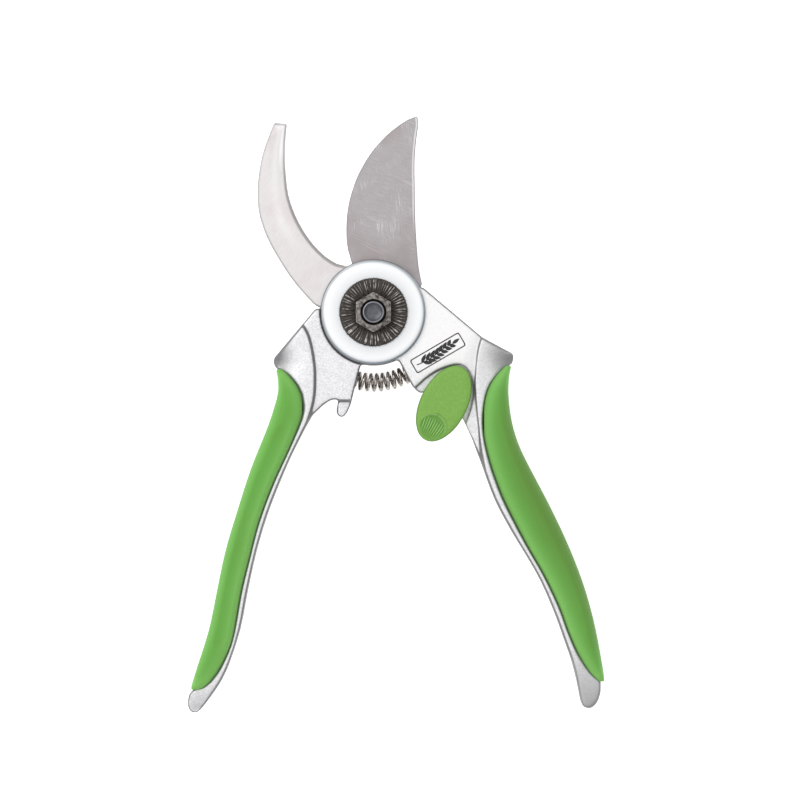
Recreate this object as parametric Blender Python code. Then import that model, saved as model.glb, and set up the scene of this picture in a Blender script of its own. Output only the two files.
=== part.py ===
"""Bypass pruning shears, lying open on their back.

The pivot axis is Z through the origin and z = 0 is the surface that the shears lie on. +Y points to
the jaws and +Z out of the front. Sizes below are in millimetres; MM turns them into metres.
"""

from math import atan2, ceil, cos, degrees, hypot, pi, radians, sin

import bmesh
import bpy
from mathutils import Matrix

MM = 0.001

# Overall reach of each arm, from the pivot to its end.
LEFT_REACH = 142.5
RIGHT_REACH = 146.6
HOOK_REACH = 68.0
BLADE_REACH = 65.4

# Direction of each arm from the pivot, in degrees from +X.
LEFT_ANGLE = -113.8
RIGHT_ANGLE = -61.5
HOOK_ANGLE = 115.8
BLADE_ANGLE = 77.4

# Clearances.
LAY_GAP = 0.15      # between plates stacked on the pivot
BORE_GAP = 0.2      # round a shank or a bush, on the radius
SWEEP_GAP = 0.2     # between a round lap and the head that turns past it
GRIP_GAP = 0.3      # between a grip and its handle

# Thicknesses of the pivot stack, from the back to the front.
BOLT_HEAD = 2.6
REAR_LAP = 3.6
BLADE_PLATE = 2.5
THRUST_WASHER = 0.3
HOOK_PLATE = 2.6
FRONT_LAP = 1.2
DISC = 1.7
TOOTHED_WASHER = 1.0
NUT = 2.6
BOLT_END = 0.8

# Radii round the pivot.
LAP_RADIUS = 17.2
PLATE_STEP = 0.2     # a blade's round end inside the lap
DISC_STEP = 0.3      # the cover disc inside the lap
DISC_RIM = 0.9
TOOTHED_WASHER_RADIUS = 11.2
NUT_RADIUS = 6.5
BOLT_RADIUS = 3.6
BOLT_HEAD_RADIUS = 8.0
BUSH_WALL = 1.15
THRUST_WASHER_RADIUS = 8.8

# Handles and grips.
HEAD_EDGE = 0.7
LEFT_NECK = 12.3          # from the lap to the station where the grip starts
RIGHT_NECK = 19.2
BODY_HALF = 6.5           # half the thickness of a handle behind its head
GRIP_WALL = 3.0
CORE_THICKNESS = 6.6
GRIP_SLOT_GAP = 0.25
BORDER_STEP = 4.0     # chord length along the border, the same on both sides of it

# Return spring and the pockets that hold its ends.
SPRING_RADIUS = 3.1
SPRING_WIRE = 1.05
SPRING_COILS = 14.5
SPRING_POCKET_DEPTH = 7.0
SPRING_END_GAP = 0.3
SPRING_SWEEP_GAP = 2.3
LEFT_FACE_ANGLE = -104.3
RIGHT_FACE_ANGLE = -62.0

# Lock: an oval button and its latch on a pin in the right head.
LOCK_BEYOND, LOCK_ANGLE = 18.1, -38.0     # the pin: distance beyond the lap, and angle
LOCK_RECESS = 0.8
LOCK_PIN_RADIUS = 2.0
LOCK_PIN_DEPTH = 7.0
LOCK_WASHER = 0.3
LATCH_PLATE = 0.8
LATCH_WIDTH = 4.4
LATCH_EYE = 3.9
FINGER_INNER, FINGER_OUTER = 20.95, 22.2
FINGER_FROM, FINGER_TO = -124.5, -114.5
FINGER_DROP = 7.2
BUTTON_X, BUTTON_Y = -5.0, -7.9                      # its centre, from the pin
BUTTON_LONG, BUTTON_SHORT = 13.3, 7.6
BUTTON_LEAN = 27.0
BUTTON_HEIGHT = 2.5
SPUR_DROP = 1.3

# Fasteners of the plates.
RIVET_RADIUS = 1.6
RIVET_CIRCLE = 12.3
RIVET_ANGLES = (205.0, 245.0)
SCREW_RADIUS = 1.4
SCREW_HEAD_RADIUS = 2.6
SCREW_HEAD = 1.5
SCREW_PLACES = ((2.9, -10.3), (9.6, -17.4))     # distance beyond the lap, and angle

# Levels and radii worked out from the sizes above.
HEAD_BACK = BOLT_HEAD + LAY_GAP
BLADE_BACK = HEAD_BACK + REAR_LAP + LAY_GAP
THRUST_BACK = BLADE_BACK + BLADE_PLATE + LAY_GAP
HOOK_BACK = THRUST_BACK + THRUST_WASHER + LAY_GAP
LAP_BACK = HOOK_BACK + HOOK_PLATE + LAY_GAP
HEAD_FRONT = LAP_BACK + FRONT_LAP
DISC_BACK = HEAD_FRONT + LAY_GAP
TEETH_BACK = DISC_BACK + DISC + LAY_GAP
NUT_BACK = TEETH_BACK + TOOTHED_WASHER + LAY_GAP
BOLT_FRONT = NUT_BACK + NUT + BOLT_END
MID = (HEAD_BACK + HEAD_FRONT) / 2
RECESS_FLOOR = HEAD_FRONT - LOCK_RECESS
LATCH_BACK = RECESS_FLOOR + LAY_GAP + LOCK_WASHER + LAY_GAP
BUTTON_BACK = max(LATCH_BACK + LATCH_PLATE, HEAD_FRONT) + LAY_GAP
BUSH_BORE = BOLT_RADIUS + BORE_GAP
BUSH_RADIUS = BUSH_BORE + BUSH_WALL
PLATE_BORE = BUSH_RADIUS + BORE_GAP
SWEEP_RADIUS = LAP_RADIUS + SWEEP_GAP
PLATE_RADIUS = LAP_RADIUS - PLATE_STEP
DISC_RADIUS = LAP_RADIUS - DISC_STEP
SPRING_AXIS_RADIUS = SWEEP_RADIUS + SPRING_RADIUS + SPRING_SWEEP_GAP
FAR = 40.0          # how far a cutter runs past the head


# ---------------------------------------------------------------- curves and outlines

def smooth(points, step=3.0):
    """Points about step apart on a Catmull-Rom curve through these."""
    ends = [points[0]] + list(points) + [points[-1]]
    path = [points[0]]
    for before, start, end, after in zip(ends, ends[1:], ends[2:], ends[3:]):
        count = max(1, ceil(hypot(end[0] - start[0], end[1] - start[1]) / step))
        for i in range(1, count + 1):
            t = i / count
            path.append(tuple(
                0.5 * (2 * b + (c - a) * t + (2 * a - 5 * b + 4 * c - d) * t * t
                       + (3 * b - a - 3 * c + d) * t ** 3)
                for a, b, c, d in zip(before, start, end, after)))
    return path


def arc(radius, start, end, centre=(0.0, 0.0), step=8.0):
    """Points on a circle from one angle to another, in degrees."""
    count = max(1, ceil(abs(end - start) / step))
    angles = [radians(start + (end - start) * i / count) for i in range(count + 1)]
    return [(centre[0] + radius * cos(a), centre[1] + radius * sin(a)) for a in angles]


def offset(path, distance):
    """An open path moved sideways, to the left of its direction."""
    moved = []
    for i, (x, y) in enumerate(path):
        ax, ay = path[max(i - 1, 0)]
        bx, by = path[min(i + 1, len(path) - 1)]
        length = hypot(bx - ax, by - ay)
        moved.append((x - (by - ay) / length * distance, y + (bx - ax) / length * distance))
    return moved


def reached(path):
    """The share of an open path's length that lies before each of its points."""
    lengths = [0.0]
    for (ax, ay), (bx, by) in zip(path, path[1:]):
        lengths.append(lengths[-1] + hypot(bx - ax, by - ay))
    return [length / lengths[-1] for length in lengths]


def matched(path, shares):
    """Points on a path at these shares of its length, which rise from 0 to 1."""
    marks = reached(path)
    found = []
    span = 0
    for share in shares:
        while span < len(path) - 2 and marks[span + 1] < share:
            span += 1
        t = (share - marks[span]) / (marks[span + 1] - marks[span])
        (ax, ay), (bx, by) = path[span], path[span + 1]
        found.append((ax + (bx - ax) * t, ay + (by - ay) * t))
    return found


def polar(radius, angle):
    return radius * cos(radians(angle)), radius * sin(radians(angle))


def head(*places):
    """Points of a head, each a distance beyond the round lap and an angle."""
    return [polar(LAP_RADIUS + distance, angle) for distance, angle in places]


def arm(angle, side, start, reach, stations):
    """Stations (share of the way from start to reach, distance to the arm's side) as points."""
    ux, uy = cos(radians(angle)), sin(radians(angle))
    points = []
    for share, across in stations:
        along = start + share * (reach - start)
        points.append((along * ux - side * across * uy, along * uy + side * across * ux))
    return points


def area(outline):
    return sum(a[0] * b[1] - b[0] * a[1] for a, b in zip(outline, outline[1:] + outline[:1])) / 2


def without_doubles(outline, least=0.05):
    kept = []
    for point in outline:
        if not kept or hypot(point[0] - kept[-1][0], point[1] - kept[-1][1]) > least:
            kept.append(point)
    if hypot(kept[0][0] - kept[-1][0], kept[0][1] - kept[-1][1]) <= least:
        kept.pop()
    return kept


def inset(outline, distance):
    """A closed outline, anticlockwise, moved inwards; sharp corners move no more than twice that."""
    moved = []
    for i, (x, y) in enumerate(outline):
        ax, ay = outline[i - 1]
        bx, by = outline[(i + 1) % len(outline)]
        before = atan2(y - ay, x - ax)
        turn = (atan2(by - y, bx - x) - before + pi) % (2 * pi) - pi
        normal = before + turn / 2 + pi / 2
        length = distance / max(cos(turn / 2), 0.5)
        moved.append((x + length * cos(normal), y + length * sin(normal)))
    return moved


LOCK = polar(LAP_RADIUS + LOCK_BEYOND, LOCK_ANGLE)


# ---------------------------------------------------------------- meshes

def clear_scene():
    for old in list(bpy.data.objects):
        bpy.data.objects.remove(old, do_unlink=True)


def material(name, colour, roughness, metallic):
    made = bpy.data.materials.new(name)
    made.use_nodes = True
    shader = made.node_tree.nodes["Principled BSDF"]
    shader.inputs["Base Color"].default_value = (*colour, 1.0)
    shader.inputs["Roughness"].default_value = roughness
    shader.inputs["Metallic"].default_value = metallic
    made.diffuse_color = (*colour, 1.0)
    return made


def from_rings(name, rings, origin=(0.0, 0.0)):
    """A closed skin over rings of equal length, listed from the back to the front."""
    mesh = bpy.data.meshes.new(name)
    ox, oy = origin
    count = len(rings[0])
    points = [((x - ox) * MM, (y - oy) * MM, z * MM) for ring in rings for x, y, z in ring]
    faces = []
    for level in range(len(rings) - 1):
        for i in range(count):
            j = (i + 1) % count
            low, high = level * count, (level + 1) * count
            faces.append((low + i, low + j, high + j, high + i))
    faces.append(tuple(reversed(range(count))))
    faces.append(tuple(range(len(points) - count, len(points))))
    mesh.from_pydata(points, [], faces)
    mesh.update()
    solid = bpy.data.objects.new(name, mesh)
    solid.location = (ox * MM, oy * MM, 0.0)
    bpy.context.scene.collection.objects.link(solid)
    return solid


def prism(name, outline, back, front, edge=0.0, origin=(0.0, 0.0), steps=1):
    """An outline made solid between two levels, with rounded edges where edge is given."""
    flat = without_doubles(outline)
    if area(flat) < 0:
        flat.reverse()
    if not edge:
        levels = [(0.0, back), (0.0, front)]
    else:
        turns = [pi / 2 * i / steps for i in range(steps + 1)]
        rounding = [(edge * (1 - sin(a)), edge * (1 - cos(a))) for a in turns]
        levels = [(side, back + rise) for side, rise in rounding]
        levels += [(side, front - rise) for side, rise in reversed(rounding)]
    rings = [[(x, y, z) for x, y in (inset(flat, side) if side else flat)] for side, z in levels]
    return from_rings(name, rings, origin)


def turned(name, profile, centre=(0.0, 0.0), segments=44):
    """A turned solid round a Z axis: profile is (radius, level) from the back to the front."""
    cx, cy = centre
    circle = [2 * pi * i / segments for i in range(segments)]
    rings = [[(cx + r * cos(a), cy + r * sin(a), z) for a in circle] for r, z in profile]
    return from_rings(name, rings, centre)


def cutter(solid):
    solid.hide_render = True
    solid.display_type = "WIRE"
    return solid


def combine(target, other, operation):
    step = target.modifiers.new(operation.title() + " " + other.name, "BOOLEAN")
    step.operation = operation
    step.solver = "EXACT"
    step.object = cutter(other)


def cut(target, other):
    combine(target, other, "DIFFERENCE")


def join(target, other):
    combine(target, other, "UNION")


def bore(target, radius, back, front, centre=(0.0, 0.0), segments=32):
    name = f"{target.name} bore {radius:.2f} {centre[0]:.0f} {centre[1]:.0f}"
    cut(target, turned(name, [(radius, back), (radius, front)], centre, segments))


def finish(solid, look):
    solid.data.materials.append(look)
    solid.data.shade_smooth()
    solid.data.set_sharp_from_angle(angle=radians(35))
    return solid


# ---------------------------------------------------------------- outlines of the two arms

LEFT_OUTER = (
    (0.0, 21.1), (0.052, 17.8), (0.11, 16.7), (0.17, 16.1), (0.295, 15.6), (0.415, 14.2),
    (0.535, 12.5), (0.65, 9.8), (0.765, 7.0), (0.885, 5.5), (0.943, 4.7))
LEFT_BORDER = (
    (0.0, 20.4), (0.005, 17.5), (0.022, 13.2), (0.04, 10.8), (0.067, 8.8), (0.106, 7.7),
    (0.2, 7.5), (0.311, 7.7), (0.428, 6.9), (0.53, 5.0), (0.627, 3.1), (0.722, 0.4),
    (0.774, -0.8), (0.824, -1.0), (0.867, -0.6), (0.9, 0.4), (0.923, 1.8), (0.937, 4.0))
LEFT_BUTT = ((0.957, 4.6), (0.985, 3.8), (1.0, 2.0), (0.997, 0.2), (0.975, -0.9))
LEFT_INNER = (
    (0.916, -2.4), (0.85, -3.1), (0.73, -1.8), (0.616, 1.1), (0.5, 3.7), (0.38, 5.3),
    (0.257, 5.8), (0.194, 5.7), (0.128, 5.3))
RIGHT_OUTER = (
    (0.0, 30.6), (0.047, 26.9), (0.1, 24.1), (0.157, 21.9), (0.218, 20.6), (0.283, 20.2),
    (0.417, 20.0), (0.547, 19.2), (0.673, 17.4), (0.79, 14.4), (0.906, 10.3), (0.95, 8.6))
RIGHT_BORDER = (
    (0.0, 29.9), (0.01, 25.6), (0.022, 22.5), (0.045, 19.4), (0.075, 16.8), (0.107, 14.6),
    (0.148, 12.6), (0.193, 11.1), (0.246, 9.8), (0.3, 8.9), (0.354, 8.3), (0.486, 8.0),
    (0.59, 8.3), (0.695, 7.7), (0.751, 6.8), (0.794, 6.2), (0.839, 5.8), (0.883, 6.0),
    (0.919, 6.7), (0.945, 7.9))
RIGHT_BUTT = ((0.968, 6.3), (0.99, 4.0), (1.0, 1.8), (0.998, 0.0), (0.984, -1.2))
RIGHT_INNER = (
    (0.965, -0.9), (0.907, 1.1), (0.849, 2.7), (0.787, 3.8), (0.725, 4.9), (0.662, 5.7),
    (0.598, 6.2), (0.53, 6.1), (0.46, 5.7), (0.393, 5.5), (0.325, 5.7), (0.263, 6.6),
    (0.202, 7.7), (0.139, 8.6))


def left_arm(stations):
    return arm(LEFT_ANGLE, -1, LAP_RADIUS + LEFT_NECK, LEFT_REACH, stations)


def right_arm(stations):
    return arm(RIGHT_ANGLE, 1, LAP_RADIUS + RIGHT_NECK, RIGHT_REACH, stations)


def left_outline():
    """The left casting from above: shoulder, grip border, butt, inner edge, spur and round lap."""
    lap_start = head((1.7, 177.2))
    shoulder = smooth(head((17.1, -156.1), (18.6, -154.7), (19.2, -152.2), (19.1, -149.8)), 1.0)
    border = offset(smooth(left_arm(LEFT_BORDER), BORDER_STEP), GRIP_GAP)
    edge = smooth(left_arm(LEFT_BUTT), 1.5)
    inner = smooth(left_arm(LEFT_BUTT)[-1:] + left_arm(LEFT_INNER), 4.5)
    arch = smooth(head((21.7, -120.9), (19.3, -119.9), (16.4, -118.2), (14.2, -115.7),
                   (13.4, -112.7)), 1.2)
    spur = smooth(head((13.7, -111.5), (17.2, -110.2), (18.1, -108.8), (18.3, -107.1), (17.6, -105.8),
                   (15.4, -104.7), (12.9, -104.1)), 1.0)
    face = [polar(LAP_RADIUS + 10.7, LEFT_FACE_ANGLE), polar(SWEEP_RADIUS + 0.2, LEFT_FACE_ANGLE)]
    lap = arc(LAP_RADIUS, LEFT_FACE_ANGLE + 3.0, 176.0)
    return lap_start + shoulder + border + edge + inner + arch + spur + face + lap


def right_outline():
    """The right casting from above, the other way round: top edge, shoulder, border, butt, face, lap."""
    top = head((0.8, 25.7), (19.0, -13.1))
    shoulder = smooth(head((28.5, -16.3), (30.0, -16.7), (30.6, -18.5), (30.7, -20.3)), 1.0)
    border = offset(smooth(right_arm(RIGHT_BORDER), BORDER_STEP), -GRIP_GAP)
    edge = smooth(right_arm(RIGHT_BUTT), 1.5)
    inner = smooth(right_arm(RIGHT_INNER), 4.5)
    under = head((27.2, -49.7), (14.9, -55.4))
    corner = smooth(head((13.7, -56.6), (13.0, -59.8), (11.9, -60.8)), 1.0)
    face = [polar(LAP_RADIUS + 10.0, RIGHT_FACE_ANGLE), polar(SWEEP_RADIUS + 0.2, RIGHT_FACE_ANGLE)]
    lap = arc(LAP_RADIUS, RIGHT_FACE_ANGLE - 3.0, 28.0 - 360.0)
    return top + shoulder + border + edge + inner + under + corner + face + lap


def left_step():
    """Where the left head steps up to the thicker handle, and a far side round the head."""
    edge = smooth(head((7.5, -175.4), (6.3, -169.2), (5.4, -161.4), (6.4, -148.0),
                   (9.7, -135.5), (12.9, -129.5), (16.6, -125.2), (20.4, -122.8),
                   (26.3, -120.8), (32.7, -119.5)), 2.0)
    return edge + [(-FAR / 2, -FAR - 20.0), (FAR, -FAR - 20.0), (FAR, FAR), (-FAR / 2, FAR)]


def right_step():
    """Where the right head steps up to the thicker handle, and a far side round the head."""
    edge = smooth(head((19.5, -7.8), (19.0, -13.3), (19.2, -21.4), (22.2, -32.9),
                   (27.3, -41.4), (33.6, -47.6), (38.6, -51.3), (45.3, -54.6)), 2.0)
    return edge + [(FAR / 2, -FAR - 20.0), (-FAR, -FAR - 20.0), (-FAR, FAR), (FAR / 2, FAR)]


def core_outline(outer, border, into_handle):
    """The rib that a handle reaches into its grip: GRIP_WALL inside the grip's outer edge."""
    inside = smooth(border, BORDER_STEP)
    outside = matched(smooth(outer), reached(inside))
    widths = [hypot(ox - bx, oy - by) for (ox, oy), (bx, by) in zip(outside, inside)]
    kept = [i for i, width in enumerate(widths) if width > 2 * GRIP_WALL]
    rib = []
    for i in kept:
        (ox, oy), (bx, by) = outside[i], inside[i]
        share = 1 - GRIP_WALL / widths[i]
        rib.append((bx + (ox - bx) * share, by + (oy - by) * share))
    inner_side = offset(inside, into_handle)[kept[0]:kept[-1] + 1]
    return rib + inner_side[::-1]


# ---------------------------------------------------------------- handles and grips

def handle_body(name, outline, step):
    """A handle at its full thickness, with its head thinned on both sides as far as the step."""
    handle = prism(name, outline, MID - BODY_HALF, MID + BODY_HALF, HEAD_EDGE)
    cut(handle, prism(name + " head front", step, HEAD_FRONT, FAR))
    cut(handle, prism(name + " head back", step, -FAR, HEAD_BACK))
    return handle


def spring_pocket(target, face_angle, inwards):
    """A round pocket for one end of the spring, square to a head's flat face."""
    x, y = polar(SPRING_AXIS_RADIUS, face_angle)
    depth = SPRING_POCKET_DEPTH + SPRING_END_GAP
    start = 1.0
    bpy.ops.mesh.primitive_cylinder_add(
        vertices=32, radius=(SPRING_RADIUS + GRIP_GAP) * MM, depth=(depth + start) * MM)
    pocket = bpy.context.object
    pocket.name = target.name + " spring pocket"
    turn = radians(face_angle + 90 * inwards)
    middle = (depth - start) / 2
    pocket.matrix_world = (
        Matrix.Translation(((x + middle * cos(turn)) * MM, (y + middle * sin(turn)) * MM, MID * MM))
        @ Matrix.Rotation(turn, 4, "Z") @ Matrix.Rotation(pi / 2, 4, "Y"))
    cut(target, pocket)


def core(target, outer, border, into_handle):
    outline = core_outline(outer, border, into_handle)
    half = CORE_THICKNESS / 2
    join(target, prism(target.name + " core", outline, MID - half, MID + half))


def left_handle(look):
    handle = handle_body("left_handle", left_outline(), left_step())
    core(handle, left_arm(LEFT_OUTER), left_arm(LEFT_BORDER), GRIP_GAP + 0.7)
    cut(handle, turned("left_handle sweep", [(SWEEP_RADIUS, HEAD_BACK + REAR_LAP), (SWEEP_RADIUS, FAR)]))
    bore(handle, PLATE_BORE, -FAR, FAR)
    for angle in RIVET_ANGLES:
        bore(handle, RIVET_RADIUS + BORE_GAP, -FAR, FAR, polar(RIVET_CIRCLE, angle), 24)
    low = [(-14.0, -28.6), (-14.0, -38.0), (-4.0, -38.0), (-4.0, -28.6)]
    cut(handle, prism("left_handle spur drop", low, HEAD_FRONT - SPUR_DROP, FAR))
    spring_pocket(handle, LEFT_FACE_ANGLE, -1)
    return finish(handle, look)


def tang_outline(gap):
    """The part of the counter blade that the right head holds, gap wider all round."""
    corners = head((-6.9, 14.6), (0.0, 8.7), (12.9, -13.9), (11.7, -23.2), (1.0, -28.3), (-4.8, -43.7))
    return inset(corners[::-1], -gap)


def right_handle(look):
    handle = handle_body("right_handle", right_outline(), right_step())
    core(handle, right_arm(RIGHT_OUTER), right_arm(RIGHT_BORDER), -GRIP_GAP - 0.7)
    cut(handle, turned("right_handle sweep", [(SWEEP_RADIUS, -FAR), (SWEEP_RADIUS, LAP_BACK)]))
    cut(handle, prism("right_handle slot", tang_outline(GRIP_GAP), HOOK_BACK - LAY_GAP, LAP_BACK + 0.001))
    bore(handle, BUSH_BORE, -FAR, FAR)
    for place in head(*SCREW_PLACES):
        bore(handle, SCREW_RADIUS + BORE_GAP, -FAR, LAP_BACK - 0.5, place, 24)
        bore(handle, SCREW_HEAD_RADIUS + BORE_GAP, -FAR, HEAD_BACK + SCREW_HEAD + 2 * LAY_GAP, place, 24)
    recess = smooth(head((10.5, -60.4), (9.9, -52.0), (10.7, -42.1), (13.0, -34.7), (15.0, -31.4),
                     (17.5, -30.5), (20.0, -32.2), (22.3, -35.1), (24.9, -39.4), (27.3, -44.4),
                     (29.6, -49.8)), 1.2)
    outside = head((35.3, -59.0), (28.1, -83.7), (10.3, -79.5))
    cut(handle, prism("right_handle recess", recess + outside, RECESS_FLOOR, FAR))
    bore(handle, LOCK_PIN_RADIUS + BORE_GAP, RECESS_FLOOR - LOCK_PIN_DEPTH, FAR, LOCK, 32)
    spring_pocket(handle, RIGHT_FACE_ANGLE, 1)
    return finish(handle, look)


def grip(name, outer, border, into_handle, look):
    """A moulded grip, round outside and squarer beside its handle, with a slot for the handle's rib."""
    points, round_side, flat_side = 18, 0.8, 0.5
    inside = smooth(border, BORDER_STEP)
    shares = reached(inside)
    outside = matched(smooth(outer), shares)
    rings = []
    for t, (ox, oy), (bx, by) in zip(shares, outside, inside):
        half = MID * (0.74 + 0.26 * min(1.0, 5 * t, 6 * (1 - t)))
        ring = []
        for k in range(points):
            turn = 2 * pi * k / points
            squareness = round_side if cos(turn) >= 0 else flat_side
            side = abs(cos(turn)) ** squareness * (1 if cos(turn) >= 0 else -1)
            rise = abs(sin(turn)) ** squareness * (1 if sin(turn) >= 0 else -1)
            share = (1 + side) / 2
            ring.append((bx + (ox - bx) * share, by + (oy - by) * share, MID + half * rise))
        rings.append(ring)
    if into_handle > 0:
        rings.reverse()
    body = from_rings(name, rings)
    half = CORE_THICKNESS / 2 + GRIP_SLOT_GAP
    slot = inset_core(core_outline(outer, border, into_handle))
    cut(body, prism(name + " slot", slot, MID - half, MID + half))
    return finish(body, look)


def inset_core(outline):
    """The rib's outline with the slot's clearance round it."""
    flat = without_doubles(outline)
    if area(flat) < 0:
        flat.reverse()
    return inset(flat, -GRIP_SLOT_GAP)


# ---------------------------------------------------------------- jaws

def cutting_blade(look):
    """The convex blade, on the left handle's lap, ground thin along its cutting edge."""
    edge = ((1.0, 0.0), (0.972, 2.9), (0.906, 6.9), (0.848, 9.5), (0.79, 11.6), (0.733, 13.1),
            (0.678, 14.2), (0.624, 15.0), (0.519, 15.6), (0.419, 15.1), (0.323, 13.7), (0.275, 12.5))
    back = ((0.193, -13.3), (0.265, -11.2), (0.364, -9.1), (0.499, -6.6), (0.6, -5.0), (0.77, -2.4),
            (0.872, -1.4), (0.964, -0.9))
    outline = (smooth(arm(BLADE_ANGLE, 1, 0.0, BLADE_REACH, edge))
               + arc(PLATE_RADIUS, 114.0, 386.0)
               + smooth(arm(BLADE_ANGLE, 1, 0.0, BLADE_REACH, back)))
    blade = prism("cutting_blade", outline, BLADE_BACK, BLADE_BACK + BLADE_PLATE)
    bore(blade, PLATE_BORE, -FAR, FAR)
    for angle in RIVET_ANGLES:
        bore(blade, RIVET_RADIUS + BORE_GAP, -FAR, FAR, polar(RIVET_CIRCLE, angle), 24)
    return finish(blade, look)


def counter_blade(look):
    """The hooked counter blade, whose tang is held in a slot of the right head."""
    outer = ((1.022, 2.0), (1.011, 3.2), (0.984, 5.1), (0.95, 7.6), (0.899, 10.8), (0.825, 14.4),
             (0.746, 17.4), (0.646, 19.8), (0.512, 20.6), (0.328, 19.4), (0.193, 17.1), (0.15, 16.0))
    inner = ((0.263, 2.0), (0.285, 3.8), (0.341, 6.2), (0.416, 8.0), (0.504, 9.0), (0.593, 9.1),
             (0.681, 8.3), (0.757, 6.6), (0.82, 4.9), (0.907, 2.0), (0.991, -1.4))
    tang = tang_outline(0.0)
    outline = (smooth(arm(HOOK_ANGLE, 1, 0.0, HOOK_REACH, outer))
               + arc(PLATE_RADIUS, 175.6, 329.0)
               + [tang[1], tang[2], tang[3]]
               + arc(PLATE_RADIUS, 9.0, 116.0)
               + smooth(arm(HOOK_ANGLE, 1, 0.0, HOOK_REACH, inner)))
    blade = prism("counter_blade", outline, HOOK_BACK, HOOK_BACK + HOOK_PLATE, 0.3)
    bore(blade, PLATE_BORE, -FAR, FAR)
    for place in head(*SCREW_PLACES):
        bore(blade, SCREW_RADIUS + BORE_GAP, -FAR, FAR, place, 24)
    return finish(blade, look)


# ---------------------------------------------------------------- pivot

def washer(name, radius, hole, back, front, look, edge=0.0):
    rim = [(radius - edge, back), (radius, back + edge), (radius, front - edge), (radius - edge, front)]
    ring = turned(name, rim if edge else [(radius, back), (radius, front)])
    bore(ring, hole, -FAR, FAR)
    return finish(ring, look)


def pivot_bolt(look):
    shank_end = BOLT_FRONT - 0.6
    profile = [(BOLT_HEAD_RADIUS - 0.8, 0.0), (BOLT_HEAD_RADIUS, 0.8), (BOLT_HEAD_RADIUS, BOLT_HEAD),
               (BOLT_RADIUS, BOLT_HEAD), (BOLT_RADIUS, shank_end), (BOLT_RADIUS - 0.6, BOLT_FRONT)]
    return finish(turned("pivot_bolt", profile, segments=48), look)


def pivot_nut(look):
    corners = [polar(NUT_RADIUS, 60 * k + 30) for k in range(6)]
    nut = prism("pivot_nut", corners, NUT_BACK, NUT_BACK + NUT, 0.4)
    bore(nut, BOLT_RADIUS + 0.5, -FAR, FAR)
    return finish(nut, look)


def cover_disc(look):
    back, front = DISC_BACK, DISC_BACK + DISC
    profile = [(DISC_RADIUS - 0.3, back), (DISC_RADIUS, back + 0.3), (DISC_RADIUS, front - DISC_RIM)]
    profile += [(DISC_RADIUS - DISC_RIM * (1 - cos(a)), front - DISC_RIM * (1 - sin(a)))
                for a in (pi / 4, pi / 2)]
    disc = turned("cover_disc", profile)
    bore(disc, BUSH_BORE, -FAR, FAR)
    return finish(disc, look)


# ---------------------------------------------------------------- return spring

def spring_path():
    """Wire centre line: a coil, straight in its two pockets and bent round the pivot between them."""
    straight = SPRING_POCKET_DEPTH - SPRING_WIRE / 2
    bend = radians(RIGHT_FACE_ANGLE - LEFT_FACE_ANGLE) * SPRING_AXIS_RADIUS
    length = bend + 2 * straight
    per_coil = 9
    count = round(SPRING_COILS * per_coil)
    coil = SPRING_RADIUS - SPRING_WIRE / 2
    points = []
    for i in range(count + 1):
        along = length * i / count - straight
        bent = min(max(along, 0.0), bend)
        angle = LEFT_FACE_ANGLE + degrees(bent / SPRING_AXIS_RADIUS)
        x, y = polar(SPRING_AXIS_RADIUS, angle)
        past = along - bent
        x += past * cos(radians(angle + 90))
        y += past * sin(radians(angle + 90))
        turn = 2 * pi * i / per_coil
        out = coil * cos(turn)
        points.append((x + out * cos(radians(angle)), y + out * sin(radians(angle)),
                       MID + coil * sin(turn)))
    return points


def return_spring(look):
    curve = bpy.data.curves.new("return_spring", "CURVE")
    curve.dimensions = "3D"
    curve.bevel_depth = SPRING_WIRE / 2 * MM
    curve.bevel_resolution = 1
    curve.use_fill_caps = True
    points = spring_path()
    wire = curve.splines.new("POLY")
    wire.points.add(len(points) - 1)
    for point, (x, y, z) in zip(wire.points, points):
        point.co = (x * MM, y * MM, z * MM, 1.0)
    curve.materials.append(look)
    spring = bpy.data.objects.new("return_spring", curve)
    bpy.context.scene.collection.objects.link(spring)


# ---------------------------------------------------------------- lock

def lock_latch(look):
    """A steel plate under the button, with a finger bent down that hooks behind the spur."""
    middle = (FINGER_FROM + FINGER_TO) / 2
    half_turn = degrees(LATCH_WIDTH / 2 / FINGER_OUTER)
    end = arc(FINGER_OUTER, middle - half_turn, middle + half_turn, LOCK)
    eye = arc(LATCH_EYE, middle + 120, middle + 240, LOCK, 10)
    latch = prism("lock_latch", end + eye, LATCH_BACK, LATCH_BACK + LATCH_PLATE, origin=LOCK)
    finger = (arc(FINGER_OUTER - 0.05, FINGER_FROM, FINGER_TO, LOCK, 3)
              + arc(FINGER_INNER, FINGER_TO, FINGER_FROM, LOCK, 3))
    join(latch, prism("lock_latch finger", finger, LATCH_BACK - FINGER_DROP,
                      LATCH_BACK + LATCH_PLATE / 2))
    bore(latch, LOCK_PIN_RADIUS + BORE_GAP, -FAR, FAR, LOCK, 32)
    return finish(latch, look)


def lock_button(look):
    """A domed oval button over the latch."""
    lean = radians(BUTTON_LEAN)
    profile = ((0.4, 0.0), (0.0, 0.5), (0.0, 1.2), (0.35, 1.8), (1.2, 2.2), (3.0, BUTTON_HEIGHT))
    rings = []
    for margin, rise in profile:
        ring = []
        for i in range(40):
            turn = 2 * pi * i / 40
            u = (BUTTON_LONG - margin) * sin(turn)
            v = (BUTTON_SHORT - margin) * cos(turn)
            ring.append((LOCK[0] + BUTTON_X + u * sin(lean) + v * cos(lean),
                         LOCK[1] + BUTTON_Y + u * cos(lean) - v * sin(lean), BUTTON_BACK + rise))
        rings.append(ring)
    return finish(from_rings("lock_button", rings, LOCK), look)


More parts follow.
